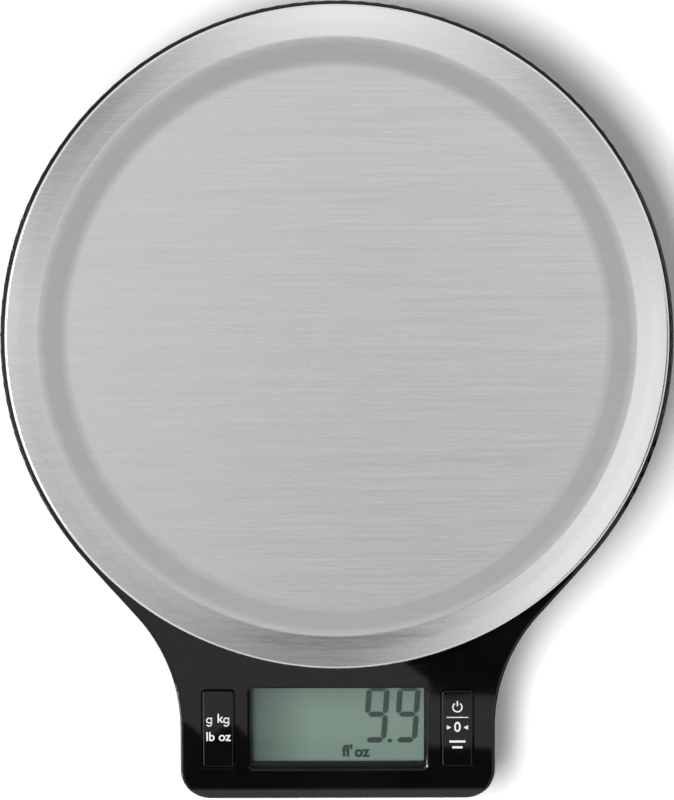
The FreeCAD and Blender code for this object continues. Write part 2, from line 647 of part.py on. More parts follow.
def display_pieces():
    y = face_y(WINDOW_V)
    film = LENS_TOP - LENS_T - LCD_DEPTH
    glass = film - FILM_T
    rear = glass - LCD_GLASS[2]
    back = rear - LCD_REAR[2]
    outer = (LCD_GLASS[0] + 2 * FRAME_WALL, LCD_GLASS[1] + 2 * FRAME_WALL)
    frame = slab(outer, (0, y), BOARD_TOP + 0.02, LENS_TOP - LENS_T - 0.1, 1.0)
    pocket = slab((LCD_GLASS[0] + FIT, LCD_GLASS[1] + FIT), (0, y), BOARD_TOP - 1, film + 0.02)
    sight = slab(SIGHT, (0, y + SIGHT_BACK), BOARD_TOP - 1, 0, 0.6)
    strip_y = LCD_GLASS[1] / 2 - 1.15
    strips = [slab((LCD_GLASS[0] - 2, 1.9), (0, y + s * strip_y), BOARD_TOP + 0.02, rear - 0.02)
              for s in (-1, 1)]
    return {
        "lcd_front_film": on_face(slab((LCD_GLASS[0] - 1, LCD_GLASS[1] - 1), (0, y), glass, film)),
        "lcd_front_glass": on_face(slab(LCD_GLASS[:2], (0, y), rear, glass)),
        "lcd_rear_glass": on_face(slab(LCD_REAR[:2], (0, y), back, rear)),
        "lcd_reflector": on_face(slab((LCD_REAR[0] - 1, LCD_REAR[1] - 0.6), (0, y), back - FILM_T, back)),
        "lcd_frame": on_face(cut(frame, [pocket, sight])),
        "zebra_connectors": Part.makeCompound([on_face(s) for s in strips]),
    }


def key_stack():
    """Heights of a key's flange and switch, below the display face."""
    flange_top = -COVER_WALL - 0.12
    stem_top = BOARD_TOP + SWITCH[2] + STEM_H
    return flange_top, flange_top - 1.2, stem_top


def key(side):
    y = face_y(WINDOW_V)
    flange_top, flange_low, stem_top = key_stack()
    cap = slab(KEY, (side * KEY_X, y), flange_top - 0.5, 0.12, 0.8)
    top = [e for e in cap.Edges if e.BoundBox.ZMin > 0.11]
    cap = cap.makeFillet(0.35, top)
    flange = slab((KEY[0] + 2 * KEY_FLANGE[0], KEY[1] + 2 * KEY_FLANGE[1]), (side * KEY_X, y),
                  flange_low, flange_top, 1.2)
    post = rod(1.9, side * KEY_X, y, stem_top + 0.02, flange_low)
    web_low = flange_low - 0.65 * (flange_low - stem_top)
    webs = [box(side * KEY_X - 0.5, side * KEY_X + 0.5, y - 7, y + 7, web_low, flange_low)]
    return on_face(fuse([cap, flange, post] + webs))


def tact_switch(side):
    y = face_y(WINDOW_V)
    body = slab(SWITCH[:2], (side * KEY_X, y), BOARD_TOP + 0.01, BOARD_TOP + SWITCH[2])
    socket = rod(STEM_R + 0.05, side * KEY_X, y, BOARD_TOP + SWITCH[2] - 1.4, BOARD_TOP + 5)
    return on_face(cut(body, [socket]))


def switch_stem(side):
    y = face_y(WINDOW_V)
    foot_z = BOARD_TOP + SWITCH[2] - 0.8
    return on_face(rod(STEM_R, side * KEY_X, y, foot_z, BOARD_TOP + SWITCH[2] + STEM_H))


def board_pieces():
    y0 = board_mid()
    board = slab(BOARD[:2], (0, y0), BOARD_TOP - BOARD[2], BOARD_TOP, 3.0)
    holes = [rod(1.3, x, y, -30, 0) for x, y in board_screw_points()]
    low = BOARD_TOP - BOARD[2]
    wires = [rod(0.35, x, board_pad_y(), -30, 0) for x in pad_xs()]
    chip_y = y0 + 6
    blob = Part.makeSphere(9.0, V(6, chip_y, low + 7.4)).common(
        box(-5, 17, chip_y - 11, chip_y + 11, low - 3, low - 0.01))
    adc = slab((6.2, 5.0), (-14, chip_y), low - 1.8, low - 0.15)
    legs = [box(-14 - 2.4 + 1.2 * i - 0.2, -14 - 2.4 + 1.2 * i + 0.2, chip_y + s * 3.1 - 1.0,
                chip_y + s * 3.1 + 1.0, low - 0.35, low - 0.01) for i in range(5) for s in (-1, 1)]
    adc = fuse([adc] + legs)
    crystal = slab((10.6, 4.4), (-26, y0 - 8), low - 3.4, low - 0.01, 2.1)
    caps = [Part.makeCylinder(2.0, 5.0, V(x, y0 - 4, low - 0.01), V(0, 0, -1)) for x in (20.0, 26.5)]
    chips = [slab((2.0, 1.25), (x, y), low - 0.56, low - 0.01)
             for x, y in [(-8 + 4 * i, y0 - 3 - 3.2 * (i % 2)) for i in range(6)]]
    screws = [on_face(board_screw(x, y)) for x, y in board_screw_points()]
    return {
        "circuit_board": on_face(cut(board, holes + wires)),
        "controller_blob": on_face(blob),
        "converter_chip": on_face(adc),
        "timing_crystal": on_face(crystal),
        "board_capacitors": Part.makeCompound([on_face(c) for c in caps]),
        "board_resistors": Part.makeCompound([on_face(c) for c in chips]),
        "board_screws": Part.makeCompound(screws),
    }


def board_screw(x, y):
    return screw(x, y, 0.8, BOARD_TOP - BOARD[2] - 0.02, 6.2, 0.98, (2.0, 1.3))


def pad_xs():
    """Board pads of the six lead wires, from -X: four for the load cell, two for the batteries."""
    return [-26.0 + 1.6 * i for i in range(4)] + [-14.0, -11.5]


def board_pad_y():
    return board_mid() + BOARD[1] / 2 - 1.6


# ---------------------------------------------------------------- load cell
def load_cell_beam():
    hx, hy = CELL[0] / 2, CELL[1] / 2
    beam = box(-hx, hx, -hy, hy, CELL_Z, CELL_Z + CELL[2])
    mid = CELL_Z + CELL[2] / 2
    tools = [Part.makeCylinder(4.9, CELL[1] + 2, V(x, -hy - 1, mid), V(0, 1, 0)) for x in (-8.0, 8.0)]
    tools.append(box(-8, 8, -hy - 1, hy + 1, mid - 1.6, mid + 1.6))
    for hole in CELL_HOLES:
        tools += [rod(M4_BORE_R, s * hole, 0, CELL_Z - 1, CELL_Z + CELL[2] + 1) for s in (-1, 1)]
    return cut(beam, tools)


def load_cell_pieces():
    top = CELL_Z + CELL[2]
    gauges = [box(s * 8.0 - 3, s * 8.0 + 3, -2.2, 2.2, top + 0.01, top + 0.13) for s in (-1, 1)]
    gauges += [box(s * 8.0 - 3, s * 8.0 + 3, -2.2, 2.2, CELL_Z - 0.13, CELL_Z - 0.01) for s in (-1, 1)]
    coat = slab((26, 9.5), (0, 0), top + 0.14, top + 1.1, 2.0)
    under = slab((24, 9.5), (1, 0), CELL_Z - 1.1, CELL_Z - 0.14, 2.0)
    side_y = -CELL[1] / 2
    relief = box(-30, -18, side_y - 2.0, side_y - 0.02, CELL_Z + 3.4, CELL_Z + 9.4)
    x0, x1 = -CELL[0] / 2, -CELL_HOLES[0] + 6
    shim = box(x0, x1, -CELL[1] / 2, CELL[1] / 2, CELL_Z - SHIM_T + 0.01, CELL_Z - 0.01)
    shim = cut(shim, [rod(M4_BORE_R, -h, 0, 0, 20) for h in CELL_HOLES])
    x0, x1 = CELL_HOLES[0] - 6, CELL[0] / 2
    pad = box(x0, x1, -CELL[1] / 2, CELL[1] / 2, top + 0.01, top + SHIM_T - 0.01)
    pad = cut(pad, [rod(M4_BORE_R, h, 0, 0, 40) for h in CELL_HOLES])
    base_screws = [screw(-h, 0, 0.8, BASE_Z + M4_HEAD[1] + 0.38, 12.0, M4_R, M4_HEAD)
                   for h in CELL_HOLES]
    seat = carrier_seat()
    top_screws = [screw(h, 0, 0.8, seat + 0.02, 14.0, M4_R, M4_HEAD, up=False) for h in CELL_HOLES]
    stop_x = (CELL_HOLES[0] + CELL_HOLES[1]) / 2
    stop = rod(M4_R, stop_x, 0, BASE_Z + 0.8, CELL_Z - STOP_GAP)
    stop = cut(stop, [slab((2.0, 2.0), (stop_x, 0), BASE_Z - 1, BASE_Z + 2.6)])
    return {
        "strain_gauges": Part.makeCompound(gauges),
        "gauge_sealant": Part.makeCompound([coat, under.cut(box(-60, 60, -20, 20, 0, CELL_Z - 1.2))]),
        "load_cell_lead_clamp": relief,
        "load_cell_shim": shim,
        "load_cell_spacer": pad,
        "load_cell_base_screws": Part.makeCompound(base_screws),
        "load_cell_platform_screws": Part.makeCompound(top_screws),
        "overload_stop_screw": stop,
    }


# ---------------------------------------------------------------- platform
def plate_profile():
    """Outside of the pressed plate as (radius, height) corners, with the radius of each corner."""
    points = [(0, PLATE_Z), (FLAT_R, PLATE_Z), (CREST_R, CREST_Z), SHOULDER,
              (PLATE_R, BEND_Z), (PLATE_R, SKIRT_Z), (PLATE_R - HEM_W, SKIRT_Z)]
    radii = [0, 8.0, 2.6, 14.0, 1.3, 0.9, 0]
    return points, radii


def offset_profile(points, radii, depth):
    """The same profile moved to the inside of the sheet by depth, corner by corner."""
    moved, bends = [], []
    for i, (r, z) in enumerate(points):
        ways = []
        if i > 0:
            ways.append((r - points[i - 1][0], z - points[i - 1][1]))
        if i < len(points) - 1:
            ways.append((points[i + 1][0] - r, points[i + 1][1] - z))
        normals = [(b / math.hypot(a, b), -a / math.hypot(a, b)) for a, b in ways]
        sum_r, sum_z = sum(n[0] for n in normals), sum(n[1] for n in normals)
        scale = len(normals) * depth / (sum_r ** 2 + sum_z ** 2) if len(normals) == 2 else depth
        if len(normals) == 2:
            scale = 2 * depth / (sum_r ** 2 + sum_z ** 2)
        moved.append((r + sum_r * scale, z + sum_z * scale))
        turn = 0.0
        if len(ways) == 2:
            turn = ways[0][0] * ways[1][1] - ways[0][1] * ways[1][0]
        bends.append(max(radii[i] + (depth if turn > 0 else -depth), 0.15) if radii[i] else 0)
    return moved, bends


def platform_plate():
    points, radii = plate_profile()
    inner, inner_radii = offset_profile(points, radii, SHEET_T)
    inner[0] = (0, inner[0][1])
    loop = points + inner[::-1]
    return revolve(loop, radii + inner_radii[::-1])


def carrier_top():
    return PLATE_Z - SHEET_T - FOAM_T


def carrier_bottom():
    return carrier_top() - CARRIER_T


def carrier_seat():
    """Height of the screw seats inside the carrier's boss."""
    return CELL_Z + CELL[2] + SHIM_T + 4.0


def platform_carrier():
    top, low = carrier_top(), carrier_bottom()
    edge = PLATE_R - SHEET_T - 3 * FIT
    hem_top = SKIRT_Z + SHEET_T + FIT
    band_r, band_z = SHOULDER
    profile = [(0, low), (edge - 2.4, low), (edge - 2.4, hem_top), (edge, hem_top),
               (edge, BEND_Z - 1.9), (band_r - 1.0, band_z - SHEET_T - 0.9),
               (FLAT_R + 6, top), (0, top)]
    disc = revolve(profile, [0] * 8)
    rib_low = DECK_TOP + TRAVEL + 1.8
    adds = [disc]
    for radius in RIB_RADII:
        adds.append(rod(radius + 0.8, 0, 0, rib_low, low + 0.1).cut(rod(radius - 0.8, 0, 0, 0, 60)))
    spokes = []
    for i in range(12):
        arm = box(8, edge - 2.0, -0.7, 0.7, rib_low, low + 0.1)
        arm.rotate(V(0, 0, 0), V(0, 0, 1), 15 + 30 * i)
        spokes.append(arm)
    stops = [rod(5.5, x, y, 0, low) for x, y in stop_points()]
    free_x = (CELL_HOLES[0] + CELL_HOLES[1]) / 2
    boss_low = CELL_Z + CELL[2] + SHIM_T
    bx, by = BOSS_HALF
    boss = slab((2 * bx, 2 * by), (free_x, 0), boss_low, low + 0.1, 2.0)
    body = fuse(adds + [cut(Part.makeCompound(spokes), stops)] + [boss])
    bores = [rod(M4_BORE_R, h, 0, 0, 60) for h in CELL_HOLES]
    bores += [rod(M4_HEAD[0] + 0.4, h, 0, carrier_seat(), 60) for h in CELL_HOLES]
    return cut(body, bores)


def platform_foam():
    """Self-adhesive foam between the plate and the carrier: a disc and an outer ring."""
    z0, z1 = carrier_top() + 0.02, PLATE_Z - SHEET_T - 0.02
    ring = rod(FLAT_R - 2.3, 0, 0, z0, z1).cut(rod(FLAT_R - 14.3, 0, 0, 0, 60))
    middle = rod(14.0, -8.0, 0, z0, z1)
    return Part.makeCompound([ring, middle])


# ---------------------------------------------------------------- wires
def tube(points, radius, bends):
    path = rounded_path(points, bends)
    first = path.OrderedEdges[0]
    ring = Part.Circle(points[0], first.tangentAt(first.FirstParameter), radius).toShape()
    return path.makePipeShell([Part.Wire(ring)], True, False)


def lead_wires():
    """Four leads of the load cell and two of the batteries, each soldered to the board's edge."""
    pad = on_face(Part.Vertex(V(0, board_pad_y(), BOARD_TOP - BOARD[2] - 0.25))).Point
    cell, power = [], []
    rise = pad.z - 4.5
    for i, x in enumerate(pad_xs()[:4]):
        run_x = -33.4 - 1.25 * i
        z = CELL_Z + 4.2 + 1.25 * i
        start = V(-30.1, -CELL[1] / 2 - 1.1, z)
        points = [start, V(run_x, -CELL[1] / 2 - 1.1, z), V(run_x, -20.0, 8.0),
                  V(run_x, SLOPE_V + 2.0, 8.0), V(x, pad.y + 10.5, rise), V(x, pad.y, rise),
                  V(x, pad.y, pad.z)]
        cell.append(tube(points, 0.5, [0, 1.5, 5.0, 8.0, 6.0, 2.0, 0]))
    tab_x = -BAY_HALF[0] - BAY_WALL - 1.3
    high = rise + 2.2
    for i, (x, side) in enumerate(zip(pad_xs()[4:], (1, -1))):
        y = BAY_V + side * CELL_PITCH / 2
        run_x = tab_x - 1.9 * (1 - i)
        points = [V(tab_x, y, 13.62), V(run_x, y - 5.0, 13.62)] if i == 0 else [V(tab_x, y, 13.62)]
        points += [V(run_x, SLOPE_V + 5.0, 13.62), V(x, pad.y + 9.0, high), V(x, pad.y, high),
                   V(x, pad.y, pad.z)]
        bends = [0, 3.0] if i == 0 else [0]
        power.append(tube(points, 0.6, bends + [8.0, 6.0, 0.9, 0]))
    return {"load_cell_leads": Part.makeCompound(cell), "battery_leads": Part.makeCompound(power)}


# ---------------------------------------------------------------- everything
def pieces():
    made = {
        "base_shell": base_shell(),
        "top_cover": top_cover(),
        "window_lens": lens(),
        "unit_key": key(-1),
        "tare_key": key(1),
        "unit_switch": tact_switch(-1),
        "tare_switch": tact_switch(1),
        "unit_switch_stem": switch_stem(-1),
        "tare_switch_stem": switch_stem(1),
        "load_cell_beam": load_cell_beam(),
        "platform_plate": platform_plate(),
        "platform_carrier": platform_carrier(),
        "platform_foam": platform_foam(),
        "battery_door": battery_door(),
        "battery_door_latch": battery_door_latch(),
        "battery_a": battery(BAY_V + CELL_PITCH / 2, 1),
        "battery_b": battery(BAY_V - CELL_PITCH / 2, -1),
        "case_screws": Part.makeCompound([
            screw(x, y, 1.0, SEAT_Z - 0.02, SCREW_LEN, SCREW_R, SCREW_HEAD) for x, y in ring_points()]),
    }
    for place, (x, y) in foot_points().items():
        made["foot_" + place] = foot(x, y)
    for group in (contacts(), display_pieces(), board_pieces(), load_cell_pieces(), lead_wires()):
        made.update(group)
    return made


def write():
    os.makedirs("parts", exist_ok=True)
    for name, shape in pieces().items():
        placed = shape.copy()
        placed.translate(V(0, DISC_Y, 0))
        placed.exportStep("parts/%s.step" % name)
        size = placed.BoundBox
        print("%-26s solids %d valid %s volume %9.1f  z %.2f..%.2f" % (
            name, len(placed.Solids), placed.isValid(), placed.Volume, size.ZMin, size.ZMax))


if __name__ == "__main__":
    write()
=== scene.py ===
"""Looks of a flat kitchen scale: steel platform, gloss black cover, sloping head with display and keys."""
from __future__ import annotations

import functools
import json
import logging
import math
from dataclasses import dataclass, field
from enum import Enum
from typing import Any, Mapping, Sequence, Union

import bmesh
import bpy
from mathutils import Matrix, Vector

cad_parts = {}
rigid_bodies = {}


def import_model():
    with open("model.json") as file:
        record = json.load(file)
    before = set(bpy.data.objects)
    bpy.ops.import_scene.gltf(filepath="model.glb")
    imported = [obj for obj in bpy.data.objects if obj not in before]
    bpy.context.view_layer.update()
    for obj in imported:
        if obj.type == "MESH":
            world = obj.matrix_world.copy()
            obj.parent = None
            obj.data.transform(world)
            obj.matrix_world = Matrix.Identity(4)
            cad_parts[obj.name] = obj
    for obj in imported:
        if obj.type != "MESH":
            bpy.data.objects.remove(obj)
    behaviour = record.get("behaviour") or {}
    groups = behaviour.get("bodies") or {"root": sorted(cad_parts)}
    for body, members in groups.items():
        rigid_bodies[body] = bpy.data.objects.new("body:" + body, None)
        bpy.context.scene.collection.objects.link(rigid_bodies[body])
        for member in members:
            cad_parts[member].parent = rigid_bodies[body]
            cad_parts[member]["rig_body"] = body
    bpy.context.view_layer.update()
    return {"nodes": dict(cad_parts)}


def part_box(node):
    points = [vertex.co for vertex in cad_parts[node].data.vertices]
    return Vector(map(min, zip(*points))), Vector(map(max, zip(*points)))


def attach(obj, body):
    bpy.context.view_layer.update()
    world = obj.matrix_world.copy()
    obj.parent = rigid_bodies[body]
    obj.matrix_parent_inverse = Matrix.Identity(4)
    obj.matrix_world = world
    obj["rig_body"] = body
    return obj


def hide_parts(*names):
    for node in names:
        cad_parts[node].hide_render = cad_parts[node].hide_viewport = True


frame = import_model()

LOG = logging.getLogger("kitchen_scale")
MM = 0.001
DISC_Y = 17.375 * MM  # middle of the round part
FACE_Y, FACE_Z = -46.625 * MM, 26.6 * MM  # where the head starts to slope down
SLOPE = math.radians(5.5)
FACE = Matrix.Translation((0.0, FACE_Y, FACE_Z)) @ Matrix.Rotation(SLOPE, 4, "X")
WHITE = (1.0, 1.0, 1.0, 1.0)

Point = tuple[float, float, float]
Value = Union["Signal", float, tuple, Vector]


class Body(Enum):
    """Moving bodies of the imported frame."""

    HOUSING = "housing"
    PLATFORM = "platform"
    UNIT = "unit_button"
    TARE = "tare_button"
    DOOR = "door"


class Sense(Enum):
    """Way in which a row of screws points."""

    UP = 0.0
    DOWN = math.pi


class Sign(Enum):
    """Plain signs printed on the keys."""

    KILO = "k"
    POUND = "lb oz"
    FLUID = "fl'"
    OUNCE = "oz"
    ZERO = "0"


def rgb(code: str) -> tuple[float, float, float, float]:
    """Turns a display colour into the linear values that a socket takes.

    Args:
        code: colour as #rrggbb.

    Returns:
        Linear red, green, blue and 1.
    """
    parts = [int(code[i : i + 2], 16) / 255.0 for i in (1, 3, 5)]
    linear = [p / 12.92 if p <= 0.04045 else ((p + 0.055) / 1.055) ** 2.4 for p in parts]
    return (linear[0], linear[1], linear[2], 1.0)


def scaled(colour: Sequence[float], factor: float) -> tuple[float, float, float, float]:
    """Darkens or lightens a linear colour.

    Args:
        colour: linear colour.
        factor: what its three parts are multiplied by.

    Returns:
        The new linear colour.
    """
    red, green, blue = (min(1.0, part * factor) for part in colour[:3])
    return (red, green, blue, 1.0)


class Signal:
    """One socket of a shader tree; Python's operators on it add Math nodes."""

    def __init__(self, shader: "Shader", socket: bpy.types.NodeSocket) -> None:
        """Wraps a socket.

        Args:
            shader: tree that the socket is in.
            socket: output to read.
        """
        self.shader = shader
        self.socket = socket

    def _math(self, operation: str, first: Value, second: Value) -> "Signal":
        """Adds one Math node.

        Args:
            operation: the node's operation.
            first: first value.
            second: second value.

        Returns:
            Its result.
        """
        return self.shader.add("ShaderNodeMath", {"operation": operation}, {0: first, 1: second})

    def __add__(self, other: Value) -> "Signal":
        """Sum."""
        return self._math("ADD", self, other)

    __radd__ = __add__

    def __sub__(self, other: Value) -> "Signal":
        """Difference."""
        return self._math("SUBTRACT", self, other)

    def __rsub__(self, other: Value) -> "Signal":
        """Difference, reflected."""
        return self._math("SUBTRACT", other, self)

    def __mul__(self, other: Value) -> "Signal":
        """Product."""
        return self._math("MULTIPLY", self, other)

    __rmul__ = __mul__

    def __gt__(self, other: Value) -> "Signal":
        """1 where this is the greater, else 0."""
        return self._math("GREATER_THAN", self, other)

    def __lt__(self, other: Value) -> "Signal":
        """1 where this is the smaller, else 0."""
        return self._math("LESS_THAN", self, other)

    def __mod__(self, other: Value) -> "Signal":
        """Remainder, never negative."""
        return self._math("FLOORED_MODULO", self, other)

    def __abs__(self) -> "Signal":
        """Absolute value."""
        return self._math("ABSOLUTE", self, 0.0)

    def most(self, other: Value) -> "Signal":
        """The greater of two values."""
        return self._math("MAXIMUM", self, other)


class Shader:
    """Node tree of a material or a world, built call by call."""

    def __init__(self, name: str, holder: bpy.types.World | None = None) -> None:
        """Starts an empty tree.

        Args:
            name: material's name.
            holder: world that the tree belongs to, or None for a new material.
        """
        self.holder = holder or bpy.data.materials.new(name)
        self.holder.use_nodes = True
        self.tree = self.holder.node_tree
        self.tree.nodes.clear()

    def add(
        self,
        kind: str,
        settings: Mapping[str, Any] | None = None,
        inputs: Mapping[Any, Value] | None = None,
        output: Any = 0,
    ) -> Signal:
        """Adds one node.

        Args:
            kind: node type.
            settings: its properties, and a ramp's stops, set before its sockets.
            inputs: values or signals by socket name or place.
            output: socket to return.

        Returns:
            The chosen output.
        """
        node = self.tree.nodes.new(kind)
        for key, value in (settings or {}).items():
            if key == "stops":
                for at, colour in value:
                    stop = node.color_ramp.elements[0] if at <= 0.0 else node.color_ramp.elements.new(at)
                    stop.color = colour
                node.color_ramp.elements.remove(node.color_ramp.elements[-1])
            else:
                setattr(node, key, value)
        for key, value in (inputs or {}).items():
            if isinstance(value, Signal):
                self.tree.links.new(value.socket, node.inputs[key])
            else:
                node.inputs[key].default_value = value
        return Signal(self, node.outputs[output])

    def place(
        self,
        scale: Point = (1.0, 1.0, 1.0),
        shift: Point = (0.0, 0.0, 0.0),
        turn: Point = (0.0, 0.0, 0.0),
    ) -> Signal:
        """Object coordinates, moved, turned and scaled.

        Args:
            scale: factor along each axis.
            shift: added after the scale.
            turn: angles in radians.

        Returns:
            The vector.
        """
        at = self.add("ShaderNodeTexCoord", output="Object")
        values = {"Vector": at, "Location": shift, "Rotation": turn, "Scale": scale}
        return self.add("ShaderNodeMapping", None, values)

    def axis(self, name: str) -> Signal:
        """One object coordinate in millimetres: X, Y or Z."""
        return self.add("ShaderNodeSeparateXYZ", None, {0: self.place()}, name) * 1000.0

    def noise(self, at: Signal, scale: float, detail: float = 3.0, rough: float = 0.5) -> Signal:
        """Smooth noise from 0 to 1.

        Args:
            at: where it is read.
            scale: waves for each unit.
            detail: octaves.
            rough: share of each next octave.

        Returns:
            The noise.
        """
        values = {"Vector": at, "Scale": scale, "Detail": detail, "Roughness": rough}
        return self.add("ShaderNodeTexNoise", {"noise_dimensions": "3D"}, values, 0)

    def cells(self, at: Signal, scale: float, measure: str = "EUCLIDEAN") -> Signal:
        """Distance to the nearest point of a scattered set.

        Args:
            at: where it is read.
            scale: cells for each unit.
            measure: how distance is measured.

        Returns:
            The distance.
        """
        settings = {"feature": "F1", "distance": measure}
        return self.add("ShaderNodeTexVoronoi", settings, {"Vector": at, "Scale": scale}, "Distance")

    def span(self, signal: Signal, low: float, high: float, first: float = 0.0, last: float = 1.0) -> Signal:
        """Maps low..high to first..last and holds it there.

        Args:
            signal: what is mapped.
            low: value that becomes first.
            high: value that becomes last.
            first: result at low.
            last: result at high.

        Returns:
            The mapped signal.
        """
        values = {0: signal, 1: low, 2: high, 3: first, 4: last}
        return self.add("ShaderNodeMapRange", {"clamp": True}, values)

    def blend(self, share: Value, first: Value, second: Value) -> Signal:
        """Mixes two colours.

        Args:
            share: 0 for the first, 1 for the second.
            first: colour.
            second: colour.

        Returns:
            The colour.
        """
        return self.add("ShaderNodeMix", {"data_type": "RGBA"}, {0: share, 6: first, 7: second}, 2)

    def tint(self, share: Value, first: Value, second: Value) -> Signal:
        """Multiplies one colour by another.

        Args:
            share: how much of the second takes part.
            first: colour.
            second: colour that it is multiplied by.

        Returns:
            The colour.
        """
        settings = {"data_type": "RGBA", "blend_type": "MULTIPLY"}
        return self.add("ShaderNodeMix", settings, {0: share, 6: first, 7: second}, 2)

    def bump(self, height: Signal, depth: float, strength: float = 1.0) -> Signal:
        """Normal from a height.

        Args:
            height: 0 to 1.
            depth: metres that 1 stands for.
            strength: share of the effect.

        Returns:
            The normal.
        """
        return self.add("ShaderNodeBump", None, {"Strength": strength, "Distance": depth, "Height": height})

    def surface(self, **values: Value) -> bpy.types.Material:
        """Ends the tree in a Principled shader; underscores in a name stand for spaces.

        Args:
            values: sockets and what they hold.

        Returns:
            The material.
        """
        return self.end(self.principled(**values))

    def principled(self, **values: Value) -> Signal:
        """Adds a Principled shader; underscores in a name stand for spaces.

        Args:
            values: sockets and what they hold.

        Returns:
            The shader.
        """
        named = {key.replace("_", " "): value for key, value in values.items()}
        return self.add("ShaderNodeBsdfPrincipled", None, named)

    def shown(self) -> Signal:
        """1 for what is seen directly, in gloss or through glass, 0 for the light on other surfaces."""
        kinds = ("Is Camera Ray", "Is Glossy Ray", "Is Transmission Ray")
        direct, glossy, passed = (self.add("ShaderNodeLightPath", None, None, kind) for kind in kinds)
        return direct.most(glossy).most(passed)

    def end(self, shader: Signal) -> bpy.types.ID:
        """Joins a shader to the output.

        Args:
            shader: the finished shader.

        Returns:
            The material or world.
        """
        kind = "World" if isinstance(self.holder, bpy.types.World) else "Material"
        output = self.tree.nodes.new(f"ShaderNodeOutput{kind}")
        self.tree.links.new(shader.socket, output.inputs["Surface"])
        return self.holder


@dataclass(frozen=True)
class Plastic:
    """Moulded plastic with a fine or polished skin, a little mottling and rub marks."""

    name: str
    colour: str
    rough: float
    grain: float = 2500.0
    depth: float = 0.00002
    mottle: float = 0.2
    rub: float = 0.06
    specular: float = 0.5

    @functools.lru_cache(maxsize=None)
    def material(self) -> bpy.types.Material:
        """Builds the material once and returns it."""
        s = Shader(self.name)
        at = s.place()
        base = rgb(self.colour)
        cloud = s.noise(at, 60.0, 4.0, 0.6)
        fine = s.noise(at, self.grain, 2.0, 0.6)
        smear = s.noise(s.place((14.0, 90.0, 40.0), turn=(0.0, 0.0, 0.5)), 1.0, 4.0, 0.6)
        share = s.span(cloud + fine * 0.5, 0.45, 1.0)
        return s.surface(
            Base_Color=s.blend(share, scaled(base, 1.0 - self.mottle), scaled(base, 1.0 + self.mottle)),
            Roughness=s.span(smear, 0.3, 0.75, self.rough - self.rub, self.rough + self.rub),
            Specular_IOR_Level=self.specular,
            Normal=s.bump(fine, self.depth),
        )


@dataclass(frozen=True)
class GlossBlack:
    """Polished black moulding with hairlines and faint handling marks."""

    name: str
    colour: str = "#0b0b0c"
    rough: float = 0.022

    @functools.lru_cache(maxsize=None)
    def material(self) -> bpy.types.Material:
        """Builds the material once and returns it."""
        s = Shader(self.name)
        base = rgb(self.colour)
        marks = s.noise(s.place(), 45.0, 5.0, 0.65)
        hair = s.noise(s.place((40.0, 900.0, 300.0), turn=(0.0, 0.0, 0.7)), 1.0, 2.0, 0.7)
        flow = s.noise(s.place(), 22.0, 1.0)
        smudge = s.span(marks, 0.52, 0.78)
        return s.surface(
            Base_Color=s.blend(s.span(marks, 0.35, 0.8), scaled(base, 0.7), scaled(base, 1.5)),
            Roughness=smudge * 0.04 + s.span(hair, 0.68, 0.8) * 0.06 + self.rough,
            Specular_IOR_Level=0.33,
            Normal=s.bump(flow + hair * 0.02, 0.00005, 0.5),
        )


@dataclass(frozen=True)
class BrushedSteel:
    """Stainless sheet with a straight grain along X and a ring with painted shade and a rougher finish,
    whose radii are in mm.
    """

    name: str
    colour: str = "#d9d9d9"
    rough: float = 0.24
    ring_edges: tuple[float, float] = (72.6, 81.6)
    ring_fade: float = 2.6
    # factor of the painted shade on the ring's base colour
    ring_painted_shade: float = 0.74

    @functools.lru_cache(maxsize=None)
    def material(self) -> bpy.types.Material:
        """Builds the material once and returns it."""
        s = Shader(self.name)
        base = rgb(self.colour)
        fine = s.noise(s.place((55.0, 3600.0, 1400.0)), 1.0, 2.0, 0.6)
        streak = s.noise(s.place((16.0, 900.0, 300.0), (3.0, 1.0, 2.0)), 1.0, 3.0, 0.65)
        haze = s.noise(s.place((9.0, 30.0, 30.0), (1.0, 5.0, 0.0)), 1.0, 3.0, 0.5)
        scratch = s.span(s.noise(s.place((70.0, 2600.0, 900.0), (7.0, 2.0, 9.0)), 1.0, 1.0, 0.5), 0.7, 0.8)
        grain = fine * 0.6 + streak * 0.4
        tone = s.blend(s.span(grain, 0.3, 0.7), scaled(base, 0.93), scaled(base, 1.05))
        cloud = s.blend(s.span(haze, 0.35, 0.75), (1.0, 0.996, 0.992, 1.0), (0.985, 0.988, 0.99, 1.0))
        clouded = s.tint(1.0, tone, cloud)
        middle = s.place((1000.0, 1000.0, 0.0), (0.0, -1000.0 * DISC_Y, 0.0))
        radius = s.add("ShaderNodeVectorMath", {"operation": "LENGTH"}, {0: middle}, 1)
        inner, outer = self.ring_edges
        fade = self.ring_fade
        # the pressed ring, whose base colour is darkened as painted shade and whose finish is made rougher
        ring = s.span(radius, inner, inner + fade) * s.span(radius, outer - fade, outer, 1.0, 0.0)
        rough = s.span(grain, 0.3, 0.7, self.rough - 0.04, self.rough + 0.05)
        return s.surface(
            Base_Color=s.tint(ring, clouded, scaled(WHITE, self.ring_painted_shade)),
            Metallic=1.0,
            Roughness=rough + haze * 0.05 + ring * 0.12,
            Normal=s.bump(grain + scratch * 0.35, 0.00003, 0.55),
        )


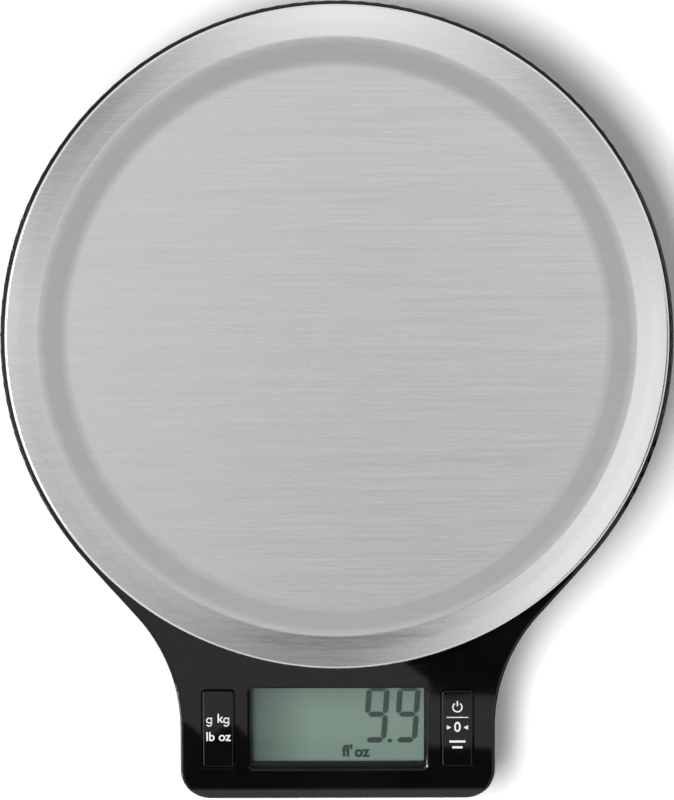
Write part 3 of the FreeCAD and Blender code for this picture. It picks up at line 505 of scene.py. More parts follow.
@dataclass(frozen=True)
class Metal:
    """Plated or turned metal with fine scratches and duller patches."""

    name: str
    colour: str
    rough: float = 0.3
    stretch: Point = (1.0, 1.0, 1.0)
    depth: float = 0.00001

    @functools.lru_cache(maxsize=None)
    def material(self) -> bpy.types.Material:
        """Builds the material once and returns it."""
        s = Shader(self.name)
        base = rgb(self.colour)
        patch = s.noise(s.place(), 350.0, 4.0, 0.6)
        line = s.noise(s.place(self.stretch), 2200.0, 2.0, 0.6)
        return s.surface(
            Base_Color=s.blend(s.span(patch, 0.35, 0.7), scaled(base, 0.82), scaled(base, 1.08)),
            Metallic=1.0,
            Roughness=s.span(patch + line * 0.4, 0.5, 0.9, self.rough - 0.06, self.rough + 0.1),
            Normal=s.bump(line, self.depth),
        )


@dataclass(frozen=True)
class Rubber:
    """Soft dark rubber, matt, with a bloom of dust in its grain."""

    name: str
    colour: str = "#1d1d1f"
    bloom: str = "#3a3a3b"

    @functools.lru_cache(maxsize=None)
    def material(self) -> bpy.types.Material:
        """Builds the material once and returns it."""
        s = Shader(self.name)
        speck = s.cells(s.place(), 2400.0)
        cloud = s.noise(s.place(), 180.0, 5.0, 0.65)
        share = s.span(cloud + speck * 0.2, 0.5, 0.95, 0.0, 0.7)
        return s.surface(
            Base_Color=s.blend(share, rgb(self.colour), rgb(self.bloom)),
            Roughness=s.span(cloud, 0.3, 0.7, 0.72, 0.92),
            Specular_IOR_Level=0.3,
            Normal=s.bump(speck, 0.00004, 0.8),
        )


@dataclass(frozen=True)
class Foam:
    """Open-cell tape foam."""

    name: str
    colour: str = "#e4e1d8"

    @functools.lru_cache(maxsize=None)
    def material(self) -> bpy.types.Material:
        """Builds the material once and returns it."""
        s = Shader(self.name)
        pores = s.cells(s.place(), 3200.0)
        cloud = s.noise(s.place(), 120.0, 4.0)
        base = rgb(self.colour)
        return s.surface(
            Base_Color=s.blend(s.span(pores + cloud * 0.4, 0.2, 0.9), scaled(base, 0.7), base),
            Roughness=0.95,
            Specular_IOR_Level=0.2,
            Normal=s.bump(pores, 0.0002, 0.9),
        )


@dataclass(frozen=True)
class Clear:
    """Thin clear plastic or glass: seen through, with a reflection that grows at a slant."""

    name: str
    tint: tuple[float, float, float, float]
    index: float = 1.45
    rough: float = 0.03

    @functools.lru_cache(maxsize=None)
    def material(self) -> bpy.types.Material:
        """Builds the material once and returns it."""
        s = Shader(self.name)
        flow = s.noise(s.place(), 30.0, 2.0)
        normal = s.bump(flow, 0.00003, 0.3)
        through = s.add("ShaderNodeBsdfTransparent", None, {"Color": self.tint})
        values = {"Color": WHITE, "Roughness": self.rough, "Normal": normal}
        gloss = s.add("ShaderNodeBsdfGlossy", None, values)
        share = s.add("ShaderNodeFresnel", None, {"IOR": self.index, "Normal": normal})
        return s.end(s.add("ShaderNodeMixShader", None, {0: share, 1: through, 2: gloss}))


@dataclass(frozen=True)
class DisplayFilm:
    """Grey-green polarising film with a painted shadow of the window frame, darker towards its left and rear
    edges; places are in mm.
    """

    name: str
    colour: str = "#768880"
    # colour of the painted shadow that the window frame casts on the film
    edge: str = "#3f4945"
    left: tuple[float, float] = (-24.0, -8.0)
    rear: tuple[float, float] = (-79.5, -86.0)

    @functools.lru_cache(maxsize=None)
    def material(self) -> bpy.types.Material:
        """Builds the material once and returns it."""
        s = Shader(self.name)
        speck = s.noise(s.place(), 5200.0, 2.0, 0.7)
        cloud = s.noise(s.place((14.0, 30.0, 30.0)), 1.0, 3.0)
        # painted shadow of the window frame, strongest at the film's left and rear edges
        outside_painted_shadow = s.span(s.axis("X"), *self.left) * s.span(s.axis("Y"), *self.rear, 0.7, 1.0)
        base = rgb(self.colour)
        tone = s.blend(s.span(speck + cloud, 0.7, 1.3), scaled(base, 0.95), scaled(base, 1.04))
        return s.surface(
            Base_Color=s.blend(outside_painted_shadow, s.blend(0.85, tone, rgb(self.edge)), tone),
            Roughness=s.span(cloud, 0.3, 0.7, 0.5, 0.6),
            Specular_IOR_Level=0.3,
            Normal=s.bump(speck, 0.000006, 0.5),
        )


@dataclass(frozen=True)
class Ink:
    """Printed or switched-on marks, a little uneven."""

    name: str
    colour: str
    rough: float = 0.5

    @functools.lru_cache(maxsize=None)
    def material(self) -> bpy.types.Material:
        """Builds the material once and returns it."""
        s = Shader(self.name)
        speck = s.noise(s.place(), 3800.0, 3.0, 0.7)
        base = rgb(self.colour)
        return s.surface(
            Base_Color=s.blend(s.span(speck, 0.35, 0.7), scaled(base, 0.88), scaled(base, 1.04)),
            Roughness=s.span(speck, 0.3, 0.7, self.rough - 0.08, self.rough + 0.08),
            Normal=s.bump(speck, 0.000004, 0.6),
        )


@dataclass(frozen=True)
class Board:
    """Green circuit board with tracks under the mask and tinned holes."""

    name: str
    mask: str = "#1d5a38"
    track: str = "#2f7a4c"

    @functools.lru_cache(maxsize=None)
    def material(self) -> bpy.types.Material:
        """Builds the material once and returns it."""
        s = Shader(self.name)
        steps = s.cells(s.place((1.0, 1.0, 0.0)), 190.0, "MANHATTAN")
        tracks = s.span(abs(steps % 0.24 - 0.12), 0.05, 0.075)
        hole = s.cells(s.place((1.0, 1.0, 0.0), (0.3, 0.1, 0.0)), 260.0) < 0.16
        weave = s.noise(s.place((300.0, 3000.0, 300.0)), 1.0, 2.0)
        green = s.blend(tracks, rgb(self.mask), rgb(self.track))
        return s.surface(
            Base_Color=s.blend(hole, s.blend(weave * 0.3, green, rgb("#123a24")), rgb("#c9c6b8")),
            Metallic=hole,
            Roughness=s.span(weave, 0.3, 0.7, 0.28, 0.4),
            Normal=s.bump(tracks + hole, 0.00003, 0.8),
        )


@dataclass(frozen=True)
class Striped:
    """Layers of two colours along one axis, as in a layered connector or a strain gauge's grid."""

    name: str
    first: str
    second: str
    axis: str = "X"
    pitch: float = 0.18
    share: float = 0.5
    rough: float = 0.5

    @functools.lru_cache(maxsize=None)
    def material(self) -> bpy.types.Material:
        """Builds the material once and returns it."""
        s = Shader(self.name)
        band = (s.axis(self.axis) % self.pitch) < self.pitch * self.share
        cloud = s.noise(s.place(), 700.0, 3.0)
        return s.surface(
            Base_Color=s.blend(band * 0.9 + cloud * 0.1, rgb(self.first), rgb(self.second)),
            Roughness=s.span(cloud, 0.3, 0.7, self.rough - 0.08, self.rough + 0.08),
            Normal=s.bump(band, 0.00001, 0.5),
        )


@dataclass(frozen=True)
class Jacket:
    """Battery's printed jacket with plain bands and steel ends.

    front is the positive end's place along X and middle the axis's place along Y, in mm. way is the
    side that the positive end faces, 1 or -1.
    """

    name: str
    front: float
    way: float
    middle: float

    @functools.lru_cache(maxsize=None)
    def material(self) -> bpy.types.Material:
        """Builds the material once and returns it."""
        s = Shader(self.name)
        along = (self.front - s.axis("X")) * self.way
        across = s.axis("Y") - self.middle
        wear = s.noise(s.place((200.0, 900.0, 900.0)), 1.0, 4.0, 0.6)
        band = (along > 2.2) * (along < 9.5)
        line = (along > 10.2) * (along < 10.9)
        bare = (along < 1.6).most(along > 43.9)
        thin, long = 0.35, 1.3
        upright = (abs(along - 13.8) < thin) * (abs(across) < long)
        level = (abs(along - 13.8) < long) * (abs(across) < thin)
        minus = (abs(along - 40.8) < thin) * (abs(across) < long)
        mark = upright.most(level).most(minus).most(line)
        jacket = s.blend(band, rgb("#2a2c30"), rgb("#a8672f"))
        printed = s.blend(mark, jacket, rgb("#d9d9d6"))
        worn = s.blend(s.span(wear, 0.4, 0.8, 0.0, 0.25), printed, rgb("#50525a"))
        return s.surface(
            Base_Color=s.blend(bare, worn, rgb("#b9bab8")),
            Metallic=bare.most(band * 0.7),
            Roughness=s.span(wear, 0.3, 0.75, 0.24, 0.38),
            Normal=s.bump(mark + wear * 0.2, 0.00001, 0.6),
        )


@dataclass(frozen=True)
class FloorPaint:
    """Plain white floor that keeps the object's shadow and is clear from below."""

    name: str = "studio_floor"
    lift: float = 0.07
    unseen: float = 0.78

    @functools.lru_cache(maxsize=None)
    def material(self) -> bpy.types.Material:
        """Builds the material once and returns it."""
        s = Shader(self.name)
        shown = s.shown()
        upper = s.principled(
            Base_Color=s.blend(shown, scaled(WHITE, self.unseen), WHITE),
            Roughness=1.0,
            Specular_IOR_Level=0.0,
            Emission_Color=s.blend(shown, scaled(WHITE, 0.0), WHITE),
            Emission_Strength=self.lift,
        )
        below = s.add("ShaderNodeNewGeometry", None, None, "Backfacing")
        clear = s.add("ShaderNodeBsdfTransparent", None, {"Color": WHITE})
        return s.end(s.add("ShaderNodeMixShader", None, {0: below, 1: upper, 2: clear}))


Finish = Union[
    Plastic, GlossBlack, BrushedSteel, Metal, Rubber, Foam, Clear, DisplayFilm, Ink, Board, Striped, Jacket
]

SHELL = Plastic("black_shell", "#1a1b1c", 0.52, 1900.0, 0.00006, 0.12, 0.05)
GLOSS = GlossBlack("gloss_cover")
STEEL = BrushedSteel("brushed_sheet")
SCREW = Metal("screw_zinc", "#a9abad", 0.28)
ALUMINIUM = Metal("milled_aluminium", "#c9cacb", 0.34, (0.05, 1.0, 1.0), 0.00002)
NICKEL = Metal("nickel_strip", "#c4bfb4", 0.22, (0.3, 1.0, 1.0))
CARRIER = Plastic("carrier_plastic", "#242528", 0.48, 1500.0, 0.00005)
PART_BLACK = Plastic("component_black", "#161617", 0.45, 3200.0, 0.00002)
SEALANT = Plastic("sealant_white", "#dddad0", 0.35, 500.0, 0.0002, 0.06)
GLUE = Plastic("clamp_glue", "#cfc6a4", 0.3, 700.0, 0.0002, 0.1)
WHITE_INK = Ink("key_print", "#e6e6e4", 0.45)
SEGMENT = Ink("segment_dark", "#303b3a", 0.4)

M4_HEAD = 2.6 * MM
M4_SCREW = {
    "Head Radius": 3.5 * MM,
    "Head Height": M4_HEAD,
    "Shank Radius": 2.0 * MM,
    "Slot Width": 1.0 * MM,
    "Slot Length": 4.4 * MM,
    "Slot Depth": 1.5 * MM,
}


class Recipe:
    """Geometry Nodes tree with named inputs, turned into a plain mesh."""

    def __init__(self, name: str) -> None:
        """Starts a tree.

        Args:
            name: tree's name.
        """
        self.tree = bpy.data.node_groups.new(name, "GeometryNodeTree")
        self.tree.interface.new_socket("Geometry", in_out="INPUT", socket_type="NodeSocketGeometry")
        self.tree.interface.new_socket("Geometry", in_out="OUTPUT", socket_type="NodeSocketGeometry")
        self.entry = self.tree.nodes.new("NodeGroupInput")
        self.exit = self.tree.nodes.new("NodeGroupOutput")
        self.finish = self.named("Finish", None, "NodeSocketMaterial")

    def named(self, name: str, value: Any, kind: str = "NodeSocketFloat") -> bpy.types.NodeSocket:
        """Adds a named input.

        Args:
            name: its name.
            value: its default, or None.
            kind: socket type.

        Returns:
            The input as a socket to link from.
        """
        item = self.tree.interface.new_socket(name, in_out="INPUT", socket_type=kind)
        if value is not None:
            item.default_value = value
        return self.entry.outputs[name]

    def add(
        self,
        kind: str,
        settings: Mapping[str, Any] | None = None,
        inputs: Mapping[Any, Any] | None = None,
        output: Any = 0,
    ) -> bpy.types.NodeSocket:
        """Adds one node.

        Args:
            kind: node type.
            settings: its properties.
            inputs: values or sockets by name or place.
            output: socket to return.

        Returns:
            The chosen output.
        """
        node = self.tree.nodes.new(kind)
        for key, value in (settings or {}).items():
            setattr(node, key, value)
        for key, value in (inputs or {}).items():
            for one in value if isinstance(value, list) else [value]:
                if isinstance(one, bpy.types.NodeSocket):
                    self.tree.links.new(one, node.inputs[key])
                else:
                    node.inputs[key].default_value = one
        return node.outputs[output]

    def close(self, geometry: bpy.types.NodeSocket) -> "Recipe":
        """Ends the tree.

        Args:
            geometry: what it makes.

        Returns:
            The recipe.
        """
        real = self.add("GeometryNodeRealizeInstances", None, {"Geometry": geometry})
        merged = self.add("GeometryNodeMergeByDistance", None, {"Geometry": real, "Distance": 1e-6})
        dressed = self.add("GeometryNodeSetMaterial", None, {"Geometry": merged, "Material": self.finish})
        self.tree.links.new(dressed, self.exit.inputs[0])
        return self

    def make(
        self,
        name: str,
        finish: Finish,
        base: bpy.types.Mesh,
        values: Mapping[str, Any],
        place: Matrix | None = None,
    ) -> bpy.types.Object:
        """Runs the tree once and keeps the mesh.

        Args:
            name: piece's name.
            finish: its finish.
            base: mesh that the tree starts from.
            values: named inputs.
            place: where the result goes.

        Returns:
            The piece, at the origin, with its place in its mesh.
        """
        host = bpy.data.objects.new(name + "_host", base)
        bpy.context.scene.collection.objects.link(host)
        modifier = host.modifiers.new("recipe", "NODES")
        modifier.node_group = self.tree
        named = {i.name: i.identifier for i in self.tree.interface.items_tree if i.in_out == "INPUT"}
        modifier[named["Finish"]] = finish.material()
        for key, value in values.items():
            modifier[named[key]] = value
        bpy.context.view_layer.update()
        graph = bpy.context.evaluated_depsgraph_get()
        mesh = bpy.data.meshes.new_from_object(host.evaluated_get(graph), depsgraph=graph)
        bpy.data.objects.remove(host)
        mesh.name = name
        if place is not None:
            mesh.transform(place)
        return settle(name, mesh, finish)


def settle(name: str, mesh: bpy.types.Mesh, finish: Finish, angle: float = 32.0) -> bpy.types.Object:
    """Merges, turns outwards, shades and dresses a mesh.

    Args:
        name: piece's name.
        mesh: its mesh, in place.
        finish: its finish.
        angle: edges sharper than this stay sharp, degrees.

    Returns:
        The piece.
    """
    bm = bmesh.new()
    bm.from_mesh(mesh)
    bmesh.ops.remove_doubles(bm, verts=bm.verts, dist=1e-6)
    bmesh.ops.recalc_face_normals(bm, faces=bm.faces)
    shade(bm, angle)
    bm.to_mesh(mesh)
    bm.free()
    mesh.materials.clear()
    mesh.materials.append(finish.material())
    piece = bpy.data.objects.new(name, mesh)
    bpy.context.scene.collection.objects.link(piece)
    return piece


def shade(bm: bmesh.types.BMesh, angle: float) -> None:
    """Smooths every face and keeps the sharp edges.

    Args:
        bm: mesh.
        angle: edges sharper than this stay sharp, degrees.
    """
    for face in bm.faces:
        face.smooth = True
    for edge in bm.edges:
        edge.smooth = len(edge.link_faces) == 2 and edge.calc_face_angle(0.0) < math.radians(angle)


def planes(bm: bmesh.types.BMesh, limit: float = 0.8) -> list[tuple[float, Vector]]:
    """Finds the flat areas of a mesh.

    Args:
        bm: mesh with its faces indexed.
        limit: faces that turn less than this belong together, degrees.

    Returns:
        For each face, its flat area's breadth in metres and its normal.
    """
    found: list[tuple[float, Vector] | None] = [None] * len(bm.faces)
    for face in bm.faces:
        if found[face.index] is not None:
            continue
        group, queue, seen = [], [face], {face.index}
        while queue:
            one = queue.pop()
            group.append(one)
            for edge in one.edges:
                for other in edge.link_faces:
                    if other.index in seen or found[other.index] is not None or other.normal.length < 0.5:
                        continue
                    if face.normal.angle(other.normal, 3.2) < math.radians(limit):
                        seen.add(other.index)
                        queue.append(other)
        inside = {f.index for f in group}
        edges = {e for f in group for e in f.edges if any(o.index not in inside for o in e.link_faces)}
        rim = sum(e.calc_length() for e in edges)
        breadth = 2.0 * sum(f.calc_area() for f in group) / max(rim, MM)
        total = sum((f.normal * f.calc_area() for f in group), Vector())
        for one in group:
            found[one.index] = (breadth, total.normalized() if total.length > 0.0 else face.normal)
    return [f for f in found if f is not None]


def even_normals(mesh: bpy.types.Mesh, angle: float, wide: float) -> None:
    """Shades flat areas flat and the rounds between them smooth.

    Args:
        mesh: mesh without doubles.
        angle: edges sharper than this stay sharp, degrees.
        wide: least breadth of a flat area, in metres; a facet of a round is narrower.
    """
    bm = bmesh.new()
    bm.from_mesh(mesh)
    bm.faces.ensure_lookup_table()
    areas, limit = planes(bm), math.cos(math.radians(angle))
    normals: list[Vector] = []
    for face in bm.faces:
        breadth, flat = areas[face.index]
        for loop in face.loops:
            if breadth >= wide:
                normals.append(flat)
                continue
            near = [f for f in loop.vert.link_faces if f.normal.dot(face.normal) > limit]
            big = [areas[f.index][1] for f in near if areas[f.index][0] >= wide]
            if big:
                normals.append(max(big, key=face.normal.dot))
            else:
                total = sum((f.normal * (f.calc_area() + 1e-12) for f in near), Vector())
                normals.append(total.normalized() if total.length > 0.0 else face.normal.copy())
    bm.free()
    mesh.shade_smooth()
    mesh.normals_split_custom_set(normals)


def skin(
    node: str, name: str, finish: Finish, angle: float = 28.0, wide: float = 2.0 * MM
) -> bpy.types.Object:
    """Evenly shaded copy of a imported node, which it stands for.

    Args:
        node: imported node.
        name: piece's name.
        finish: its finish.
        angle: edges sharper than this stay sharp, degrees.
        wide: least breadth of a flat area, in metres.

    Returns:
        The piece.
    """
    source = frame["nodes"][node]
    mesh = source.data.copy()
    mesh.name = name
    bm = bmesh.new()
    bm.from_mesh(mesh)
    bmesh.ops.remove_doubles(bm, verts=bm.verts, dist=2e-6)
    bm.to_mesh(mesh)
    bm.free()
    even_normals(mesh, angle, wide)
    mesh.materials.clear()
    mesh.materials.append(finish.material())
    piece = bpy.data.objects.new(name, mesh)
    bpy.context.scene.collection.objects.link(piece)
    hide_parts(node)
    return fit(piece, Body(source["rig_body"]))


def fit(piece: bpy.types.Object, body: Body) -> bpy.types.Object:
    """Puts a piece on its body and reports it.

    Args:
        piece: the piece.
        body: what it moves with.

    Returns:
        The piece.
    """
    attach(piece, body.value)
    LOG.info("%s: %d faces on %s", piece.name, len(piece.data.polygons), body.value)
    return piece


def dress(node: str, finish: Finish) -> None:
    """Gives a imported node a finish.

    Args:
        node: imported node.
        finish: its finish.
    """
    part = frame["nodes"][node]
    if not part.material_slots:
        part.data.materials.append(None)
    for place in part.material_slots:
        place.material = finish.material()
    LOG.info("%s: dressed as %s", node, finish.name)


def points_mesh(name: str, points: Sequence[Sequence[float]]) -> bpy.types.Mesh:
    """Loose points as a mesh.

    Args:
        name: mesh's name.
        points: places in metres.

    Returns:
        The mesh.
    """
    mesh = bpy.data.meshes.new(name)
    mesh.from_pydata([tuple(p) for p in points], [], [])
    return mesh


def line_mesh(name: str, points: Sequence[Sequence[float]], closed: bool = False) -> bpy.types.Mesh:
    """Points joined by edges.

    Args:
        name: mesh's name.
        points: places in metres.
        closed: whether the last point joins the first.

    Returns:
        The mesh.
    """
    count = len(points)
    edges = [(i, (i + 1) % count) for i in range(count if closed else count - 1)]
    mesh = bpy.data.meshes.new(name)
    mesh.from_pydata([tuple(p) for p in points], edges, [])
    return mesh


def eased(points: Sequence[tuple[float, float, float]], steps: int = 8) -> list[Vector]:
    """Profile through points whose corners are rounded.

    Args:
        points: radius, height and corner radius of each, in mm.
        steps: spans in each round.

    Returns:
        The profile's points in metres.
    """
    found: list[Vector] = []
    for i, (r, z, ease) in enumerate(points):
        at = Vector((r, z))
        if ease <= 0.0 or i in (0, len(points) - 1):
            found.append(at * MM)
            continue
        before = (Vector(points[i - 1][:2]) - at).normalized()
        after = (Vector(points[i + 1][:2]) - at).normalized()
        half = before.angle(after) / 2.0
        reach = ease / math.tan(half)
        middle = at + (before + after).normalized() * (ease / math.sin(half))
        start, end = at + before * reach - middle, at + after * reach - middle
        turn = start.angle_signed(end)
        for k in range(steps + 1):
            arm = Matrix.Rotation(-turn * k / steps, 2) @ start
            found.append((middle + arm) * MM)
    return found


def revolve_recipe() -> Recipe:
    """Turns the profile that it starts from about the Z axis, and returns the recipe."""
    r = Recipe("turned_shape")
    around = r.named("Segments", 160, "NodeSocketInt")
    reach = r.named("Path Radius", 0.5)
    path = r.add("GeometryNodeCurvePrimitiveCircle", None, {"Resolution": around, "Radius": reach}, "Curve")
    profile = r.add("GeometryNodeMeshToCurve", None, {0: r.entry.outputs[0]})
    return r.close(r.add("GeometryNodeCurveToMesh", None, {"Curve": path, "Profile Curve": profile}))


def turned(
    name: str, profile: Sequence[Vector], finish: Finish, segments: int, recipe: Recipe
) -> bpy.types.Object:
    """Piece turned from a profile about the Z axis.

    Args:
        name: piece's name.
        profile: radius and height of its points, in metres.
        finish: its finish.
        segments: spans around.
        recipe: from revolve_recipe.

    Returns:
        The piece, on the Z axis.
    """
    reach = 0.5
    line = line_mesh(name + "_profile", [(p.x - reach, -p.y, 0.0) for p in profile])
    return recipe.make(name, finish, line, {"Segments": segments, "Path Radius": reach})


def screw_recipe() -> Recipe:
    """Cross-head screws on the points that it starts from, and returns the recipe."""
    r = Recipe("cross_screws")
    head_r, head_h = r.named("Head Radius", 0.0028), r.named("Head Height", 0.002)
    shank_r, shank_h = r.named("Shank Radius", 0.0015), r.named("Shank Length", 0.01)
    slot_w, slot_l = r.named("Slot Width", 0.0008), r.named("Slot Length", 0.0032)
    depth = r.named("Slot Depth", 0.0011)
    turn = r.named("Turn", (0.0, 0.0, 0.0), "NodeSocketVector")

    def times(socket: bpy.types.NodeSocket, factor: float) -> bpy.types.NodeSocket:
        """A length times a number."""
        return r.add("ShaderNodeMath", {"operation": "MULTIPLY"}, {0: socket, 1: factor})

    def lift(geometry: bpy.types.NodeSocket, height: bpy.types.NodeSocket) -> bpy.types.NodeSocket:
        """Geometry raised by a height."""
        at = r.add("ShaderNodeCombineXYZ", None, {"Z": height})
        return r.add("GeometryNodeTransform", None, {"Geometry": geometry, "Translation": at})

    sizes = {"Vertices": 36, "Radius": head_r, "Depth": times(head_h, 0.6)}
    body = r.add("GeometryNodeMeshCylinder", None, sizes, "Mesh")
    sizes = {"Vertices": 36, "Radius Top": times(head_r, 0.66), "Radius Bottom": head_r}
    sizes["Depth"] = times(head_h, 0.4)
    dome = r.add("GeometryNodeMeshCone", None, sizes, "Mesh")
    sizes = {"Vertices": 20, "Radius": shank_r, "Depth": shank_h}
    shank = r.add("GeometryNodeMeshCylinder", None, sizes, "Mesh")
    pieces = [
        lift(body, times(head_h, 0.3)),
        lift(dome, times(head_h, 0.6)),
        lift(shank, times(shank_h, -0.5)),
    ]
    whole = r.add("GeometryNodeMeshBoolean", {"operation": "UNION"}, {"Mesh 2": pieces}, "Mesh")
    double = times(depth, 2.0)
    size_a = r.add("ShaderNodeCombineXYZ", None, {0: slot_w, 1: slot_l, 2: double})
    size_b = r.add("ShaderNodeCombineXYZ", None, {0: slot_l, 1: slot_w, 2: double})
    cuts = [lift(r.add("GeometryNodeMeshCube", None, {"Size": s}, "Mesh"), head_h) for s in (size_a, size_b)]
    cross = r.add("GeometryNodeMeshBoolean", {"operation": "UNION"}, {"Mesh 2": cuts}, "Mesh")
    cut = {"Mesh 1": whole, "Mesh 2": cross}
    one = r.add("GeometryNodeMeshBoolean", {"operation": "DIFFERENCE"}, cut, "Mesh")
    bounds = {0: (0.0, 0.0, 0.0), 1: (0.0, 0.0, 1.4), "Seed": 4}
    seeded = r.add("FunctionNodeRandomValue", {"data_type": "FLOAT_VECTOR"}, bounds, 0)
    facing = r.add("ShaderNodeVectorMath", {"operation": "ADD"}, {0: turn, 1: seeded})
    spread = {"Points": r.entry.outputs[0], "Instance": one, "Rotation": facing}
    return r.close(r.add("GeometryNodeInstanceOnPoints", None, spread))


def coil_recipe() -> Recipe:
    """Conical wire springs on the points that it starts from, and returns the recipe."""
    r = Recipe("conical_springs")
    turns, length = r.named("Turns", 3.0), r.named("Length", 0.005)
    wide, narrow = r.named("Wide Radius", 0.004), r.named("Narrow Radius", 0.002)
    wire = r.named("Wire Radius", 0.0003)
    turn = r.named("Turn", (0.0, 0.0, 0.0), "NodeSocketVector")
    sizes = {"Resolution": 28, "Rotations": turns, "Height": length}
    sizes |= {"Start Radius": wide, "End Radius": narrow}
    path = r.add("GeometryNodeCurveSpiral", None, sizes)
    ring = r.add("GeometryNodeCurvePrimitiveCircle", None, {"Resolution": 10, "Radius": wire}, "Curve")
    coil = r.add("GeometryNodeCurveToMesh", None, {"Curve": path, "Profile Curve": ring, "Fill Caps": True})
    spread = {"Points": r.entry.outputs[0], "Instance": coil, "Rotation": turn}
    return r.close(r.add("GeometryNodeInstanceOnPoints", None, spread))


def row_recipe() -> Recipe:
    """Copies of the mesh that it starts from, in a grid about the origin, and returns the recipe."""
    r = Recipe("grid_of_copies")
    span_x, span_y = r.named("Span X", 0.1), r.named("Span Y", 0.1)
    count_x, count_y = r.named("Count X", 2, "NodeSocketInt"), r.named("Count Y", 2, "NodeSocketInt")
    values = {"Size X": span_x, "Size Y": span_y, "Vertices X": count_x, "Vertices Y": count_y}
    grid = r.add("GeometryNodeMeshGrid", None, values, "Mesh")
    spread = r.add("GeometryNodeInstanceOnPoints", None, {"Points": grid, "Instance": r.entry.outputs[0]})
    return r.close(spread)


def bar_mesh(name: str, size: Point, ease: float) -> bpy.types.Mesh:
    """Small bar with rounded edges, centred on the origin.

    Args:
        name: mesh's name.
        size: its sides in metres.
        ease: edge round in metres.

    Returns:
        The mesh.
    """
    bm = bmesh.new()
    bmesh.ops.create_cube(bm, size=1.0, matrix=Matrix.Diagonal((*size, 1.0)))
    bmesh.ops.bevel(bm, geom=list(bm.edges), offset=ease, segments=2, profile=0.5, affect="EDGES")
    mesh = bpy.data.meshes.new(name)
    bm.to_mesh(mesh)
    bm.free()
    return mesh


class Artwork:
    """Thin raised marks on the sloping face, gathered into one mesh."""

    def __init__(self, thick: float) -> None:
        """Starts with no marks.

        Args:
            thick: their height in metres.
        """
        self.bm = bmesh.new()
        self.thick = thick

    def polygon(self, points: Sequence[tuple[float, float]]) -> None:
        """Adds a flat shape.

        Args:
            points: its outline on the face, in mm.
        """
        low = [self.bm.verts.new((x * MM, y * MM, 0.0)) for x, y in points]
        high = [self.bm.verts.new((x * MM, y * MM, self.thick)) for x, y in points]
        self.bm.faces.new(list(reversed(low)))
        self.bm.faces.new(high)
        for i in range(len(points)):
            j = (i + 1) % len(points)
            self.bm.faces.new((low[i], low[j], high[j], high[i]))

    def box(self, x: float, y: float, half_x: float, half_y: float) -> None:
        """Adds a rectangle.

        Args:
            x: its middle in mm.
            y: its middle in mm.
            half_x: half its width in mm.
            half_y: half its height in mm.
        """
        left, right, low, high = x - half_x, x + half_x, y - half_y, y + half_y
        self.polygon([(left, low), (right, low), (right, high), (left, high)])

    def arc(
        self, x: float, y: float, radius: float, width: float, start: float, end: float, steps: int = 28
    ) -> None:
        """Adds part of a ring.

        Args:
            x: its middle.
            y: its middle.
            radius: of the stroke's middle, in mm.
            width: of the stroke, in mm.
            start: first angle in degrees.
            end: last angle in degrees.
            steps: spans.
        """
        whole = end - start >= 360.0
        inner, outer = radius - width / 2, radius + width / 2
        section = ((inner, 0.0), (outer, 0.0), (outer, self.thick), (inner, self.thick))
        rings = []
        for k in range(steps if whole else steps + 1):
            t = math.radians(start + (end - start) * k / steps)
            ring = [((x + r * math.cos(t)) * MM, (y + r * math.sin(t)) * MM, z) for r, z in section]
            rings.append([self.bm.verts.new(place) for place in ring])
        for k in range(steps):
            one, two = rings[k], rings[(k + 1) % len(rings)]
            for i in range(4):
                self.bm.faces.new((one[i], one[(i + 1) % 4], two[(i + 1) % 4], two[i]))
        if not whole:
            self.bm.faces.new(rings[0])
            self.bm.faces.new(list(reversed(rings[-1])))

    def gram(self, x: float, y: float, radius: float, width: float) -> None:
        """Adds a small g drawn with a ring, a stem and a tail.

        Args:
            x: ring's middle.
            y: ring's middle.
            radius: of the ring, in mm.
            width: of the stroke, in mm.
        """
        low, high = y - radius * 1.35, y + radius + width / 2
        self.arc(x, y, radius, width, 0.0, 360.0)
        self.arc(x, low, radius, width, 205.0, 360.0, 14)
        self.box(x + radius, (low + high) / 2, width / 2, (high - low) / 2)

    def text(self, sign: str, x: float, y: float, height: float, weight: float, lean: float = 0.0) -> None:
        """Adds letters or figures.

        Args:
            sign: what is written.
            x: middle in mm.
            y: middle in mm.
            height: of a small letter's line, in mm.
            weight: added to each stroke, in mm.
            lean: slant.
        """
        curve = bpy.data.curves.new("sign", "FONT")
        curve.body, curve.size, curve.shear = sign, height, lean
        curve.align_x, curve.align_y = "CENTER", "CENTER"
        curve.offset, curve.extrude, curve.resolution_u = weight, self.thick / MM / 2, 4
        host = bpy.data.objects.new("sign", curve)
        bpy.context.scene.collection.objects.link(host)
        bpy.context.view_layer.update()
        graph = bpy.context.evaluated_depsgraph_get()
        mesh = bpy.data.meshes.new_from_object(host.evaluated_get(graph), depsgraph=graph)
        bpy.data.objects.remove(host)
        mesh.transform(Matrix.Translation((x * MM, y * MM, self.thick / 2)) @ Matrix.Scale(MM, 4))
        self.bm.from_mesh(mesh)
        bpy.data.meshes.remove(mesh)

    def make(self, name: str, lift: float, finish: Finish) -> bpy.types.Object:
        """Turns the marks into a piece on the sloping face.

        Args:
            name: piece's name.
            lift: height above the face, in metres.
            finish: its finish.

        Returns:
            The piece.
        """
        mesh = bpy.data.meshes.new(name)
        self.bm.to_mesh(mesh)
        self.bm.free()
        mesh.transform(FACE @ Matrix.Translation((0.0, 0.0, lift)))
        return settle(name, mesh, finish)


